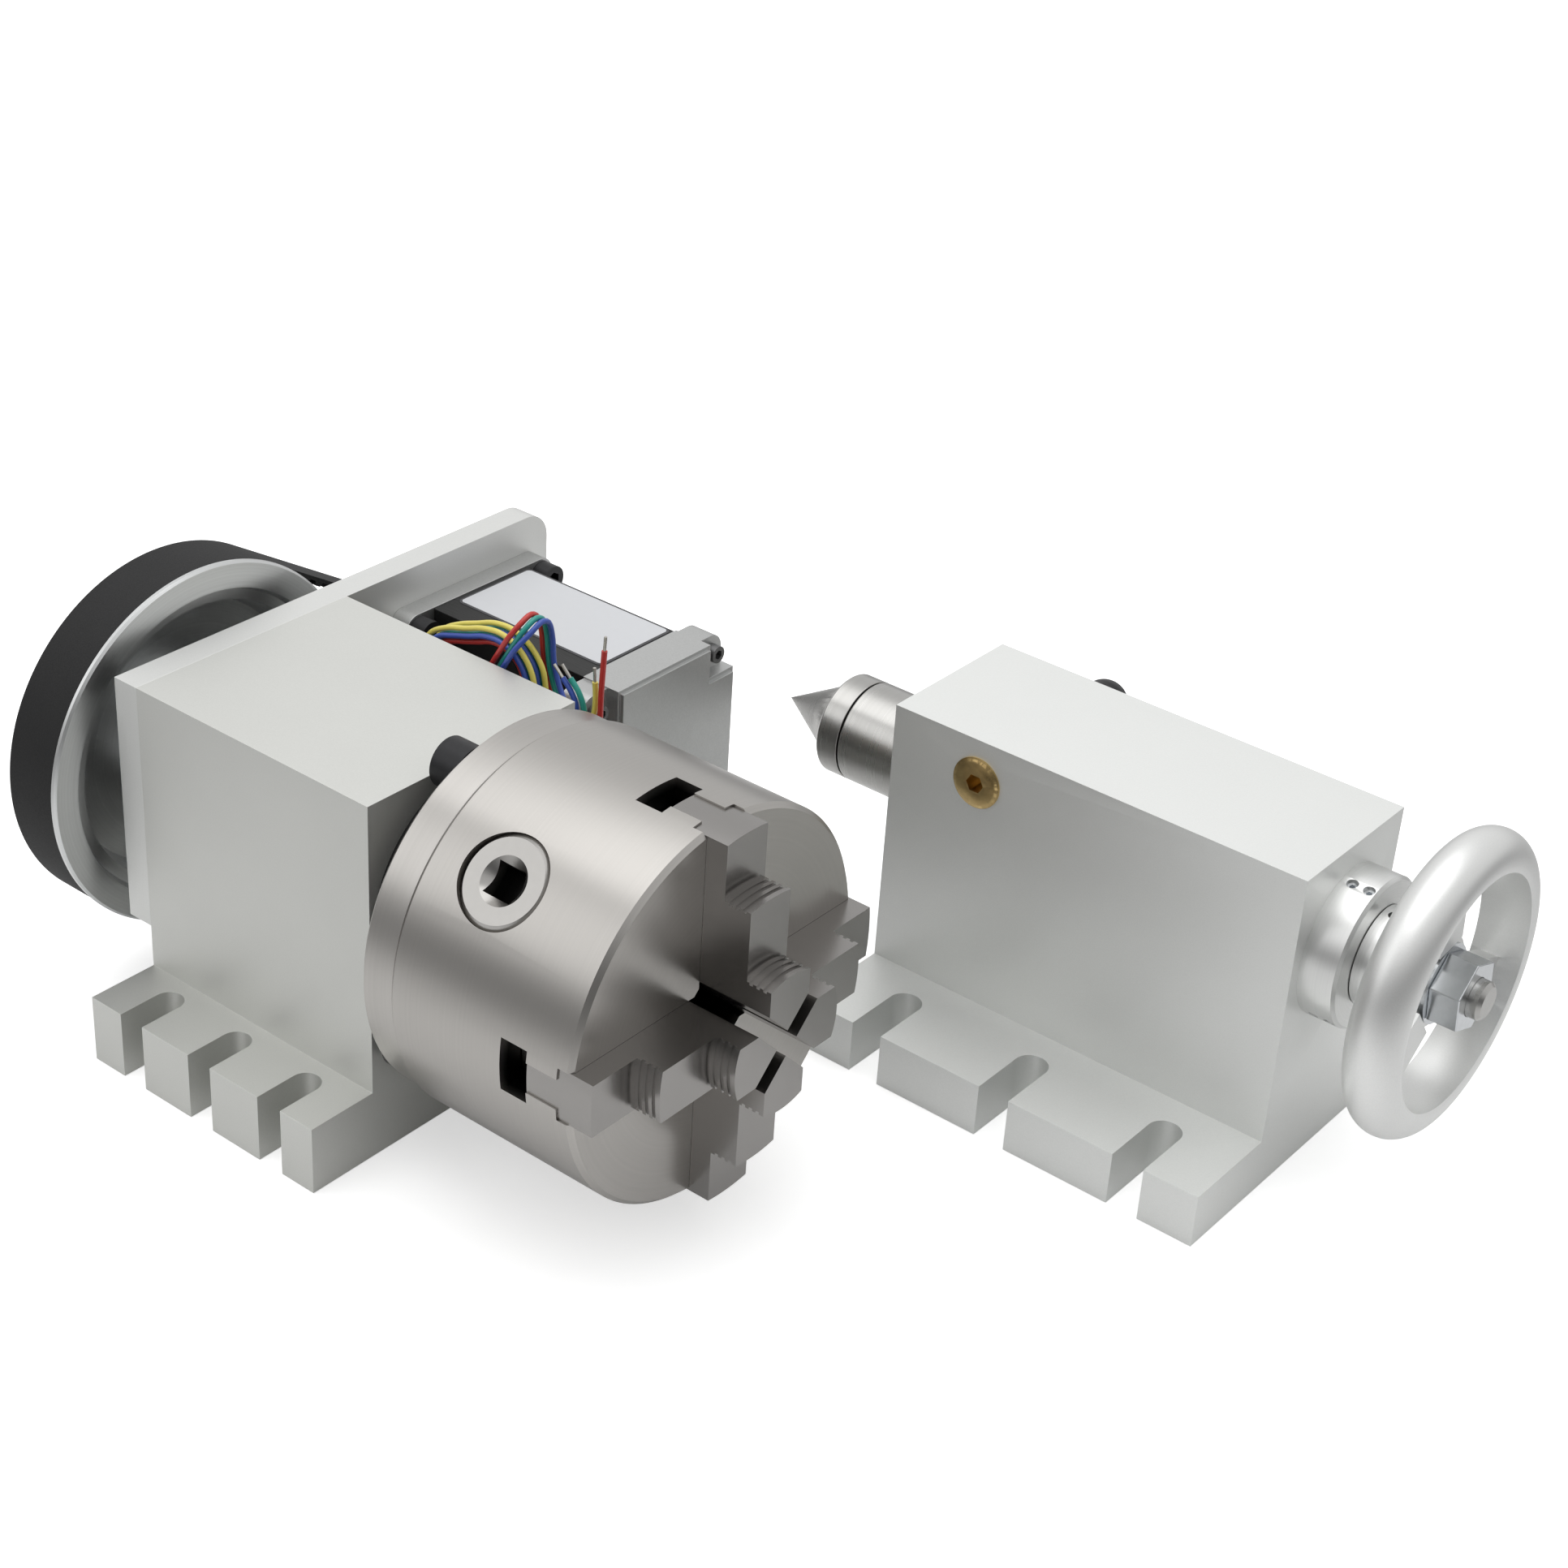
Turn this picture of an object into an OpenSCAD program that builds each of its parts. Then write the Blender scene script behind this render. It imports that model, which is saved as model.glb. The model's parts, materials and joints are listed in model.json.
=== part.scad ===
// Rotary axis for a small milling machine: a belt-driven headstock with a
// four-jaw self-centring chuck, and a tailstock with a quill and a handwheel.
// The spindle axis is X, towards the chuck's front. Z is up. Lengths are in mm.

/* [Headstock block] */
// Height of the spindle axis above the base
centre_height = 64; // [58:1:90]
// Length of the block along the spindle
block_len = 80; // [76:1:120]
// Width of the block
block_w = 70; // [70:1:90]
// Height of the block's top above the spindle axis
block_top = 36; // [36:1:50]
// Thickness of the headstock's foot flange
foot_t = 19; // [12:1:20]
// Width of the headstock's foot over both sides
foot_w = 110; // [100:1:130]
// Width of each clamping slot in the headstock's foot
slot_w = 8; // [6:0.5:12]
// Distance between neighbouring clamping slots of the headstock
slot_pitch = 25; // [20:1:26]
// Metal left between a slot's inner end and the block's side
slot_land = 4; // [2:0.5:8]

/* [Spindle and bearings] */
// Diameter of the spindle where the bearings sit
spindle_d = 30; // [26:1:34]
// Diameter of the hole through the spindle
spindle_bore_d = 16; // [8:1:20]
// Outer diameter of the bearings
bearing_od = 55; // [52:1:58]
// Width of the bearings
bearing_w = 13; // [10:1:16]
// Number of balls in each bearing
bearing_balls = 11; // [8:1:12]
// Thickness of the front bearing cover
cover_t = 4; // [3:0.5:4]
// Length of the locknut behind the pulley
locknut_t = 8; // [6:1:12]

/* [Motor plate and motor] */
// Thickness of the motor plate
plate_t = 8; // [6:1:12]
// Far edge of the motor plate from the spindle axis
plate_reach = 111; // [109:1:130]
// Bottom edge of the motor plate below the spindle axis
plate_drop = 33; // [33:1:40]
// Motor axis from the spindle axis, across the machine
motor_y = 78.5; // [75:0.5:82]
// Motor axis from the spindle axis, upwards
motor_z = -2.5; // [-6:0.5:2]
// Width of the square motor
motor_w = 56.4; // [54:0.2:60]
// Length of the motor from its mounting face
motor_len = 73; // [50:1:90]
// Diameter of the motor shaft
motor_shaft_d = 8; // [6:0.5:10]

/* [Belt drive] */
// Pitch of the toothed belt
belt_pitch = 5.08; // [5:0.02:5.2]
// Number of teeth on the spindle pulley
big_teeth = 60; // [56:1:62]
// Number of teeth on the motor pulley
small_teeth = 12; // [12:1:14]
// Width of the belt
belt_w = 16; // [10:1:20]
// Gap between the motor plate and the pulley's flange
pulley_gap = 7.5; // [5:0.5:12]

/* [Chuck] */
// Diameter of the chuck
chuck_d = 100; // [100:1:110]
// Length of the chuck body
chuck_len = 55; // [54:1:60]
// Diameter of the bore through the chuck
chuck_bore_d = 22; // [18:1:24]
// Thickness of the backplate between the spindle nose and the chuck
backplate_t = 10.5; // [9:0.5:14]
// Diameter of the register that centres the chuck on the backplate
register_d = 72; // [71:0.5:73]
// Pitch circle of the bolts that hold the chuck
chuck_bolt_pcd = 84; // [83:0.5:85]
// Number of bolts that hold the chuck
chuck_bolts = 3; // [2:1:3]
// Diameter of the key-operated pinions
pinion_d = 23.4; // [18:0.2:24]
// Width of the square key socket in a pinion
key_square = 8; // [6:0.5:10]
// Radial travel of the jaws for one turn of the scroll
scroll_pitch = 5; // [4.8:0.1:5.2]

/* [Jaws] */
// Width of the jaws
jaw_w = 14; // [12:0.5:16]
// Width of the jaw's neck between the body's rails
jaw_neck_w = 8; // [6:0.5:10]
// Height of the outer, middle and inner steps above the chuck's face
jaw_steps = [6, 13.5, 20.5];
// Radius at which the middle and inner steps begin
jaw_risers = [35.5, 18.3];
// Distance of the closed jaws' tips from the spindle axis
jaw_tip_r = 3.5; // [2.5:0.1:6]

/* [Tailstock] */
// Position of the tailstock's front face along the spindle
tail_x = 48; // [40:1:80]
// Distance of the tailstock's axis from the spindle axis
tail_y = 127; // [125:1:200]
// Length of the tailstock body
tail_len = 120; // [118:1:160]
// Width of the tailstock body
tail_w = 47; // [44:1:60]
// Height of the tailstock body above its axis
tail_top = 27; // [25:1:40]
// Thickness of the tailstock's foot flange
tail_foot_t = 15; // [10:1:20]
// Width of the tailstock's foot over both sides
tail_foot_w = 106; // [98:1:140]
// Width of each clamping slot in the tailstock's foot
tail_slot_w = 9; // [6:0.5:12]
// Distance between neighbouring clamping slots of the tailstock
tail_slot_pitch = 40; // [30:1:44]
// Metal left between a tailstock slot's inner end and the body's side
tail_slot_land = 8.5; // [4:0.5:12]

/* [Quill and centre] */
// Diameter of the quill
quill_d = 28; // [26:1:30]
// Length of quill outside the body, at rest
quill_out = 24.5; // [20:0.5:30]
// Length of the quill
quill_len = 94; // [90:1:96]
// Length of the rotating centre's head behind its cone
centre_head_len = 7.5; // [5:0.5:10]
// Angle between the sides of the centre's cone
centre_angle = 60; // [55:1:75]
// Diameter of the brass lock plug in the body's side
plug_d = 14; // [10:0.5:16]
// Distance of the lock plug behind the body's front face
plug_x = 26.5; // [20:0.5:30]
// Height of the lock plug above the quill's axis
plug_z = 15; // [12:0.5:16]

/* [Handwheel] */
// Outer diameter of the handwheel
wheel_d = 80; // [70:1:100]
// Width of the handwheel's rim
wheel_rim_w = 14; // [10:0.5:18]
// Radial depth of the rim
wheel_rim_t = 9; // [6:0.5:12]
// Number of spokes
wheel_spokes = 3; // [3:1:5]
// Width of a spoke
wheel_spoke_w = 11; // [8:0.5:14]
// Diameter of the ring on the tailstock's rear face
rear_ring_d = 40; // [36:1:44]
// Length of that ring
rear_ring_len = 10; // [8:0.5:14]

/* [Fits] */
// Radial clearance of shafts, bores and sliding faces
run_fit = 0.05; // [0.02:0.01:0.08]
// Clearance between the belt and the pulleys
belt_fit = 0.3; // [0.3:0.05:0.5]
// Clearance each side of the scroll's thread in the jaw teeth
thread_fit = 0.7; // [0.6:0.05:0.8]
// Gap that keeps neighbouring parts apart where they turn or slide
gap = 0.3; // [0.2:0.05:0.5]

/* [Hidden] */
$fn = 96;
eps = 0.01;
cut = 1;

// Heights
base_z = -centre_height;
foot_top = base_z + foot_t;
tail_foot_top = base_z + tail_foot_t;

// Places along the spindle, from the pulley to the jaws
plate_rear = -block_len - plate_t;
pulley_front = plate_rear - pulley_gap;
pulley_flange_t = 1.5;
belt_front = pulley_front - pulley_flange_t - 0.5;
belt_rear = belt_front - belt_w;
pulley_rear = belt_rear - 0.5;
spindle_rear = pulley_rear - locknut_t - 2;
cover_spigot = 2;
nose_rear = cover_t + 1.5;
nose_t = 6;
backplate_rear = nose_rear + nose_t;
chuck_rear = backplate_rear + backplate_t;
chuck_front = chuck_rear + chuck_len;

// Radii on the spindle
spindle_r = spindle_d / 2;
spindle_bore_r = spindle_bore_d / 2;
pulley_seat_r = spindle_r - 2.5;
thread_r = pulley_seat_r - 0.5;
shoulder_r = spindle_r + 4;
nose_r = spindle_r + 13;
nose_screw_r = spindle_r + 6;
nose_screw_d = 6;
bearing_r = bearing_od / 2;
ball_pitch_r = (spindle_r + bearing_r) / 2;
ball_r = (bearing_r - spindle_r) * 0.28;
race_gap = (bearing_r - spindle_r) / 6;
front_bearing_x = -cover_spigot - bearing_w;
rear_bearing_x = -block_len;
key_w = 5;
key_len = belt_w - 2;

// Belt drive
motor_dist = norm([motor_y, motor_z]);
motor_angle = atan2(motor_z, motor_y);
tooth_h = 1.27;
belt_back = 1.03;
pitch_offset = 0.254;
function pulley_r(teeth) = teeth * belt_pitch / (2 * PI) - pitch_offset;
big_r = pulley_r(big_teeth);
small_r = pulley_r(small_teeth);
big_in = big_r + belt_fit;
small_in = small_r + belt_fit;
wrap = acos((big_in - small_in) / motor_dist);
span_len = motor_dist * sin(wrap);
pulley_rim_r = big_in + belt_back + 0.4;

// Motor
motor_front = -block_len;
motor_flange_t = 6;
motor_cap_len = 13;
stack_x0 = motor_front + motor_flange_t;
cap_x0 = motor_front + motor_len - motor_cap_len;
motor_x1 = motor_front + motor_len;
motor_notch = 10;
motor_bolt_pitch = motor_w - 9.26;
shaft_out = 26;
pilot_r = 19.05;

// Chuck
chuck_r = chuck_d / 2;
chuck_bore_r = chuck_bore_d / 2;
register_r = register_d / 2;
register_h = 3.5;
hub_r = chuck_bore_r + 3;
scroll_r = register_r - 1.3;
cavity_r = scroll_r + 0.3;
face_wall = 17;
jaw_tooth_h = 3.8;
cavity_front = chuck_front - face_wall;
bolt_d = 8;
bolt_angle = 107;
pinion_x = chuck_rear + 20.7;
pinion_angles = [135, 15, 255];
pinion_r = pinion_d / 2;
pinion_gear_r0 = 28;
pinion_gear_r1 = 33;
scroll_teeth = 50;
pinion_teeth = 10;
gear_mid_r = (pinion_gear_r0 + pinion_gear_r1) / 2;
gear_pitch_r = gear_mid_r * pinion_teeth / scroll_teeth;
gear_add = 1;
gear_face_x = pinion_x + gear_pitch_r - gear_add;
gear_root_x = gear_face_x + 2 * gear_add + 0.4;
scroll_hub_x0 = pinion_x - 7.2;
thread_x0 = cavity_front - 4.5;
thread_x1 = cavity_front - 0.4;
thread_t = 1.8;
thread_r0 = hub_r + thread_t;
thread_r1 = scroll_r - thread_t / 2;
thread_turns = (thread_r1 - thread_r0) / scroll_pitch;

// Jaw slots and jaws, as distances behind the chuck's face
slot_rear = cavity_front - jaw_tooth_h;
rail_rear = chuck_front - 13;
rail_front = chuck_front - 4;
jaw_hw = jaw_w / 2;
neck_hw = jaw_neck_w / 2;
jaw_teeth_hw = 4.5;
tooth_curve_r = 24;
jaw_out_r = chuck_r - 0.5;
jaw_base_out_r = chuck_r - 7;
jaw_angles = [0, 90, 180, 270];

// Tailstock
tail_x1 = tail_x + tail_len;
quill_r = quill_d / 2;
quill_x0 = tail_x - quill_out;
quill_x1 = quill_x0 + quill_len;
head_x0 = quill_x0 - centre_head_len;
cone_r = quill_r - 2.9;
tip_x = head_x0 - cone_r / tan(centre_angle / 2);
centre_shank_r = 8;
bush_r = 10;
bush_len = 20;
shank_len = 24;
quill_in = 22;
screw_r = 6;
rear_bore_len = 27;
screw_flange_x = tail_x1 - rear_bore_len;
screw_flange_t = 8;
screw_x0 = quill_x0 + shank_len + quill_in + 2;
ring_x1 = tail_x1 + rear_ring_len;
rear_bore_r = 16;
collar_r = 13;
collar_x0 = ring_x1 + 0.2;
collar_len = 9.8;
hub_x0 = collar_x0 + collar_len;
hub_len = 7;
washer_t = 1.5;
nut_len = 8;
nut_flats = 17;
washer_x = hub_x0 + hub_len;
screw_end = washer_x + washer_t + nut_len + 3.5;
rim_x0 = hub_x0 + 1;
plug_at = [tail_x + plug_x, 0, plug_z];
key_h = 5;

// Colours
billet = [0.80, 0.81, 0.80];
bright_billet = [0.87, 0.88, 0.87];
ground_steel = [0.70, 0.68, 0.66];
plain_steel = [0.74, 0.74, 0.73];
dark_steel = [0.35, 0.34, 0.33];
black_oxide = [0.10, 0.10, 0.11];
rubber_black = [0.09, 0.09, 0.09];
brass_tone = [0.75, 0.62, 0.38];

// A plain cylinder along X
module rod(x0, x1, r) {
    translate([x0, 0, 0])
        rotate([0, 90, 0])
            cylinder(h = x1 - x0, r = r);
}

// A ring along X
module ring(x0, x1, r_out, r_in) {
    difference() {
        rod(x0, x1, r_out);
        rod(x0 - cut, x1 + cut, r_in);
    }
}

// A turned shape along X, from points [x, radius]
module lathe(points) {
    rotate([0, 90, 0])
        rotate_extrude()
            polygon([for (p = points) [p[1], p[0]]]);
}

// A box between two corners
module box(a, b) {
    translate(a)
        cube(b - a);
}

// Turns a shape built along +Z to a polar angle round X, from +Y towards +Z
module at_polar(angle) {
    rotate([angle - 90, 0, 0])
        children();
}

// Copies of a shape round X, the first one at a polar angle
module round_x(count, first = 90) {
    for (i = [0 : count - 1])
        at_polar(first + i * 360 / count)
            children();
}

// A socket-head screw along X: the head's rear face is at x, the shank runs to -X
module cap_screw(x, d, len, socket = true) {
    head_r = d * 0.8;
    difference() {
        union() {
            rod(x, x + d, head_r);
            rod(x - len, x + eps, d / 2 - run_fit);
        }
        if (socket)
            translate([x + d / 2, 0, 0])
                rotate([0, 90, 0])
                    cylinder(h = d, r = d * 0.46, $fn = 6);
    }
}

// An open-ended slot through a foot, along +Y, with a round inner end at y0
module foot_slot(x, y0, y1, w, z0, z1) {
    translate([x, y0 + w / 2, z0])
        cylinder(h = z1 - z0, r = w / 2);
    box([x - w / 2, y0 + w / 2, z0], [x + w / 2, y1, z1]);
}

// A body with a foot on both sides and three slots in each side
module footed_body(x0, len, w, top, foot_top_z, foot_width, slot, pitch, land) {
    mid = x0 + len / 2;
    difference() {
        union() {
            box([x0, -w / 2, foot_top_z], [x0 + len, w / 2, top]);
            box([x0, -foot_width / 2, base_z], [x0 + len, foot_width / 2, foot_top_z + eps]);
        }
        for (side = [0, 1])
            mirror([0, side, 0])
                for (i = [-1 : 1])
                    foot_slot(mid + i * pitch, w / 2 + land, foot_width / 2 + cut, slot,
                              base_z - cut, foot_top_z + cut);
    }
}

/* Headstock block, plate and bearings */

plate_screw_at = [
    [block_w / 2 - 7, block_top - 8], [-block_w / 2 + 7, block_top - 8],
    [block_w / 2 - 7, -plate_drop + 8], [-block_w / 2 + 7, -plate_drop + 8]
];
plate_screw_d = 6;
cover_r = bearing_r + 6.5;
cover_screw_r = bearing_r + 3.2;
cover_screw_d = 3;

module headstock_block() {
    color(billet)
        difference() {
            footed_body(-block_len, block_len, block_w, block_top, foot_top, foot_w,
                        slot_w, slot_pitch, slot_land);
            rod(-block_len - cut, cut, bearing_r - 3);
            rod(-block_len - cut, -block_len + bearing_w, bearing_r);
            rod(front_bearing_x, cut, bearing_r);
            for (p = plate_screw_at)
                translate([0, p[0], p[1]])
                    rod(-block_len - cut, -block_len + 16, plate_screw_d / 2);
            round_x(4, 45)
                translate([0, 0, cover_screw_r])
                    rod(-9, cut, cover_screw_d / 2);
        }
}

module motor_plate() {
    corner = 8;
    color(billet)
        difference() {
            union() {
                box([plate_rear, -block_w / 2, -plate_drop],
                    [-block_len, plate_reach - corner, block_top]);
                box([plate_rear, plate_reach - corner - eps, -plate_drop + corner],
                    [-block_len, plate_reach, block_top - corner]);
                for (z = [-plate_drop + corner, block_top - corner])
                    translate([0, plate_reach - corner, z])
                        rod(plate_rear, -block_len, corner);
            }
            rod(plate_rear - cut, -block_len + cut, shoulder_r + 4);
            translate([0, motor_y, motor_z]) {
                rod(plate_rear - cut, -block_len + cut, pilot_r + run_fit);
                for (y = [-1, 1], z = [-1, 1])
                    translate([0, y * motor_bolt_pitch / 2, z * motor_bolt_pitch / 2])
                        rod(plate_rear - cut, -block_len + cut, 2.5);
            }
            for (p = plate_screw_at)
                translate([0, p[0], p[1]]) {
                    rod(plate_rear - cut, -block_len + cut, plate_screw_d / 2 + 0.3);
                    rod(plate_rear - cut, plate_rear + 5, plate_screw_d * 0.8 + 0.5);
                }
        }
}

module plate_screws() {
    color(black_oxide)
        for (p = plate_screw_at)
            translate([plate_rear + 5, p[0], p[1]])
                mirror([1, 0, 0])
                    cap_screw(0, plate_screw_d, 15);
}

module bearing_outer(x) {
    difference() {
        ring(x, x + bearing_w, bearing_r, ball_pitch_r + race_gap);
        ball_groove(x);
    }
}

module bearing_inner(x) {
    difference() {
        ring(x, x + bearing_w, ball_pitch_r - race_gap, spindle_r);
        ball_groove(x);
    }
}

module ball_groove(x) {
    translate([x + bearing_w / 2, 0, 0])
        rotate([0, 90, 0])
            rotate_extrude()
                translate([ball_pitch_r, 0])
                    circle(r = ball_r + run_fit);
}

module bearing_ball_set(x) {
    round_x(bearing_balls)
        translate([x + bearing_w / 2, 0, ball_pitch_r])
            sphere(r = ball_r, $fn = 48);
}

module front_bearing_outer() { color(plain_steel) bearing_outer(front_bearing_x); }
module front_bearing_inner() { color(plain_steel) bearing_inner(front_bearing_x); }
module front_bearing_balls() { color(plain_steel) bearing_ball_set(front_bearing_x); }
module rear_bearing_outer() { color(plain_steel) bearing_outer(rear_bearing_x); }
module rear_bearing_inner() { color(plain_steel) bearing_inner(rear_bearing_x); }
module rear_bearing_balls() { color(plain_steel) bearing_ball_set(rear_bearing_x); }

module front_cover() {
    color(dark_steel)
        difference() {
            union() {
                rod(0, cover_t, cover_r);
                rod(-cover_spigot, eps, bearing_r - run_fit);
            }
            rod(-cover_spigot - cut, cover_t + cut, shoulder_r + 0.4);
            rod(-cover_spigot - cut, -cover_spigot + 1, ball_pitch_r + race_gap);
            round_x(4, 45)
                translate([0, 0, cover_screw_r]) {
                    rod(-cut, cover_t + cut, cover_screw_d / 2 + 0.2);
                    rod(cover_t - cover_screw_d, cover_t + cut, cover_screw_d * 0.8 + 0.2);
                }
        }
}

module cover_screws() {
    color(black_oxide)
        round_x(4, 45)
            translate([0, 0, cover_screw_r])
                cap_screw(cover_t - cover_screw_d, cover_screw_d, 8);
}

/* Spindle and its drive */

module keyway(x0, len, r_mid, clearance) {
    box([x0, -key_w / 2 - clearance, r_mid - key_w / 2],
        [x0 + len, key_w / 2 + clearance, r_mid + key_w / 2 + clearance]);
}

key_x0 = pulley_rear + 3;

module spindle() {
    color(plain_steel)
        difference() {
            lathe([
                [spindle_rear, spindle_bore_r], [spindle_rear, thread_r - 1],
                [spindle_rear + 1, thread_r], [pulley_rear, thread_r],
                [pulley_rear, pulley_seat_r], [-block_len, pulley_seat_r],
                [-block_len, spindle_r], [-cover_spigot, spindle_r],
                [-cover_spigot, shoulder_r], [nose_rear, shoulder_r],
                [nose_rear, nose_r], [backplate_rear, nose_r],
                [backplate_rear, spindle_r], [backplate_rear + 5.5, spindle_r],
                [backplate_rear + 5.5, spindle_bore_r]
            ]);
            keyway(key_x0, key_len, pulley_seat_r, 0);
            round_x(4, 45)
                translate([0, 0, nose_screw_r])
                    rod(nose_rear - cut, backplate_rear + cut, nose_screw_d / 2);
        }
}

module pulley_key() {
    color(plain_steel)
        keyway(key_x0, key_len, pulley_seat_r, 0);
}

// One groove of a toothed pulley, cut along X at the top of its rim
module tooth_groove(r, x0, x1) {
    translate([x1, 0, 0])
        rotate([0, -90, 0])
            linear_extrude(height = x1 - x0)
                polygon([
                    [r - tooth_h - 0.1, -0.95], [r - tooth_h - 0.1, 0.95],
                    [r + 0.6, 1.75], [r + 0.6, -1.75]
                ]);
}

module pulley_wheel() {
    recess_r = big_r - 7.5;
    difference() {
        union() {
            rod(pulley_rear, pulley_front, big_r);
            lathe([
                [pulley_front - pulley_flange_t, 0],
                [pulley_front - pulley_flange_t, pulley_rim_r],
                [pulley_front - 0.6, pulley_rim_r], [pulley_front, pulley_rim_r - 0.6],
                [pulley_front, 0]
            ]);
        }
        // Dished front: a bevelled rim, a step and the recessed web
        lathe([
            [pulley_front + cut, 0], [pulley_front + cut, recess_r + 2.4],
            [pulley_front - 2.5, recess_r + 1], [pulley_front - 2.5, recess_r - 2],
            [pulley_front - 10, recess_r - 4], [pulley_front - 10, 0]
        ]);
        lathe([
            [pulley_rear - cut, 0], [pulley_rear - cut, recess_r - 2],
            [pulley_rear + 2, recess_r - 4], [pulley_rear + 2, 0]
        ]);
        for (i = [0 : big_teeth - 1])
            rotate([i * 360 / big_teeth, 0, 0])
                tooth_groove(big_r, pulley_rear - cut, pulley_front - pulley_flange_t);
    }
}

module spindle_pulley() {
    hub_front_r = shoulder_r - 0.5;
    color(billet)
        difference() {
            union() {
                pulley_wheel();
                rod(pulley_rear, pulley_rear + 2 + eps, hub_front_r + 6);
                rod(pulley_front - 10 - eps, -block_len, hub_front_r);
            }
            rod(pulley_rear - cut, -block_len + cut, pulley_seat_r);
            keyway(key_x0, key_len, pulley_seat_r, 0.1);
        }
}

module locknut() {
    color(black_oxide)
        difference() {
            ring(pulley_rear - locknut_t, pulley_rear, thread_r + 6.5, thread_r + run_fit);
            round_x(4, 45)
                box([pulley_rear - locknut_t - cut, -2, thread_r + 4.5],
                    [pulley_rear - 2, 2, thread_r + 8]);
        }
}

module backplate() {
    color(plain_steel)
        difference() {
            lathe([
                [backplate_rear, spindle_r + run_fit], [backplate_rear, chuck_r - 2],
                [backplate_rear + 1, chuck_r - 1], [chuck_rear - 0.5, chuck_r - 1],
                [chuck_rear, chuck_r - 1.5],
                [chuck_rear, register_r - run_fit], [chuck_rear + register_h, register_r - run_fit],
                [chuck_rear + register_h, chuck_bore_r + 1], [backplate_rear + 5.6, chuck_bore_r + 1],
                [backplate_rear + 5.6, spindle_r + run_fit]
            ]);
            round_x(4, 45)
                translate([0, 0, nose_screw_r]) {
                    rod(backplate_rear - cut, chuck_rear + 5, nose_screw_d / 2 + 0.3);
                    rod(backplate_rear + 6, chuck_rear + 5, nose_screw_d * 0.8 + 0.4);
                }
            round_x(chuck_bolts, bolt_angle)
                translate([0, 0, chuck_bolt_pcd / 2])
                    rod(backplate_rear - cut, chuck_rear + cut, bolt_d / 2 + 0.3);
        }
}

module nose_screws() {
    color(black_oxide)
        round_x(4, 45)
            translate([0, 0, nose_screw_r])
                cap_screw(backplate_rear + 6, nose_screw_d, 11);
}

module chuck_screws() {
    color(black_oxide)
        round_x(chuck_bolts, bolt_angle)
            translate([backplate_rear, 0, chuck_bolt_pcd / 2])
                mirror([1, 0, 0])
                    cap_screw(0, bolt_d, 22);
}

/* Chuck */

// A jaw's way through the body: wide at the back, narrow between the rails, wide in front
module jaw_way() {
    box([slot_rear, -jaw_hw, 0], [rail_rear, jaw_hw, chuck_r + cut]);
    box([rail_rear - eps, -neck_hw, 0], [rail_front + eps, neck_hw, chuck_r + cut]);
    box([rail_front, -jaw_hw, 0], [chuck_front + cut, jaw_hw, chuck_r + cut]);
}

module chuck_body() {
    color(ground_steel)
        difference() {
            union() {
                difference() {
                    lathe([
                        [chuck_rear, 0], [chuck_rear, chuck_r - 0.8], [chuck_rear + 0.8, chuck_r],
                        [chuck_front - 1.2, chuck_r], [chuck_front, chuck_r - 1.2], [chuck_front, 0]
                    ]);
                    rod(chuck_rear - cut, chuck_rear + register_h, register_r);
                    rod(chuck_rear, cavity_front, cavity_r);
                }
                rod(scroll_hub_x0, cavity_front + eps, hub_r);
            }
            rod(chuck_rear - cut, chuck_front + cut, chuck_bore_r);
            round_x(chuck_bolts, bolt_angle)
                translate([0, 0, chuck_bolt_pcd / 2])
                    rod(chuck_rear - cut, chuck_rear + 14, bolt_d / 2);
            for (a = pinion_angles)
                at_polar(a)
                    translate([pinion_x, 0, cavity_r - 2])
                        cylinder(h = chuck_r, r = pinion_r + run_fit);
            for (a = jaw_angles)
                at_polar(a)
                    jaw_way();
        }
}

module scroll_cover() {
    x0 = chuck_rear + register_h;
    x1 = scroll_hub_x0 - 0.1;
    color(plain_steel)
        ring(x0, x1, cavity_r - run_fit, chuck_bore_r + 0.5);
}

// Radius of the scroll's thread, in the middle of its ridge, at an angle in degrees
function spiral_r(a) = thread_r1 - scroll_pitch * a / 360;
function spiral_edge(a, side) = (spiral_r(a) + side * thread_t / 2) * [sin(a), cos(a)];

// One tooth space of the face gear on the scroll's back
module face_gap() {
    half = 180 / scroll_teeth * 0.66;
    r0 = pinion_gear_r0 - 1.2;
    r1 = scroll_r + cut;
    translate([gear_face_x - cut, 0, 0])
        rotate([0, 90, 0])
            linear_extrude(height = gear_root_x - gear_face_x + cut)
                polygon([
                    [-r0 * cos(half), -r0 * sin(half)], [-r0 * cos(half), r0 * sin(half)],
                    [-r1 * cos(half), r1 * sin(half)], [-r1 * cos(half), -r1 * sin(half)]
                ]);
}

module scroll() {
    last = 360 * thread_turns;
    step = 10;
    angles = [for (a = [0 : step : last]) a];
    color(plain_steel) {
        difference() {
            union() {
                rod(scroll_hub_x0, thread_x0 + eps, hub_r + 6);
                rod(gear_face_x, thread_x0 + eps, scroll_r);
            }
            ring(gear_face_x - cut, gear_root_x, pinion_gear_r0 - 1.2, hub_r + 6);
            for (i = [0 : scroll_teeth - 1])
                rotate([i * 360 / scroll_teeth, 0, 0])
                    face_gap();
            rod(scroll_hub_x0 - cut, thread_x0 + cut, hub_r + run_fit);
        }
        // Spiral thread, wound inwards as its angle grows from the first jaw
        translate([thread_x0, 0, 0])
            rotate([90, 0, 90])
                linear_extrude(height = thread_x1 - thread_x0)
                    polygon(concat(
                        [for (a = angles) let (p = spiral_edge(a, 1)) [p[1], p[0]]],
                        [for (i = [len(angles) - 1 : -1 : 0])
                            let (p = spiral_edge(angles[i], -1)) [p[1], p[0]]]
                    ));
    }
}

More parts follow.
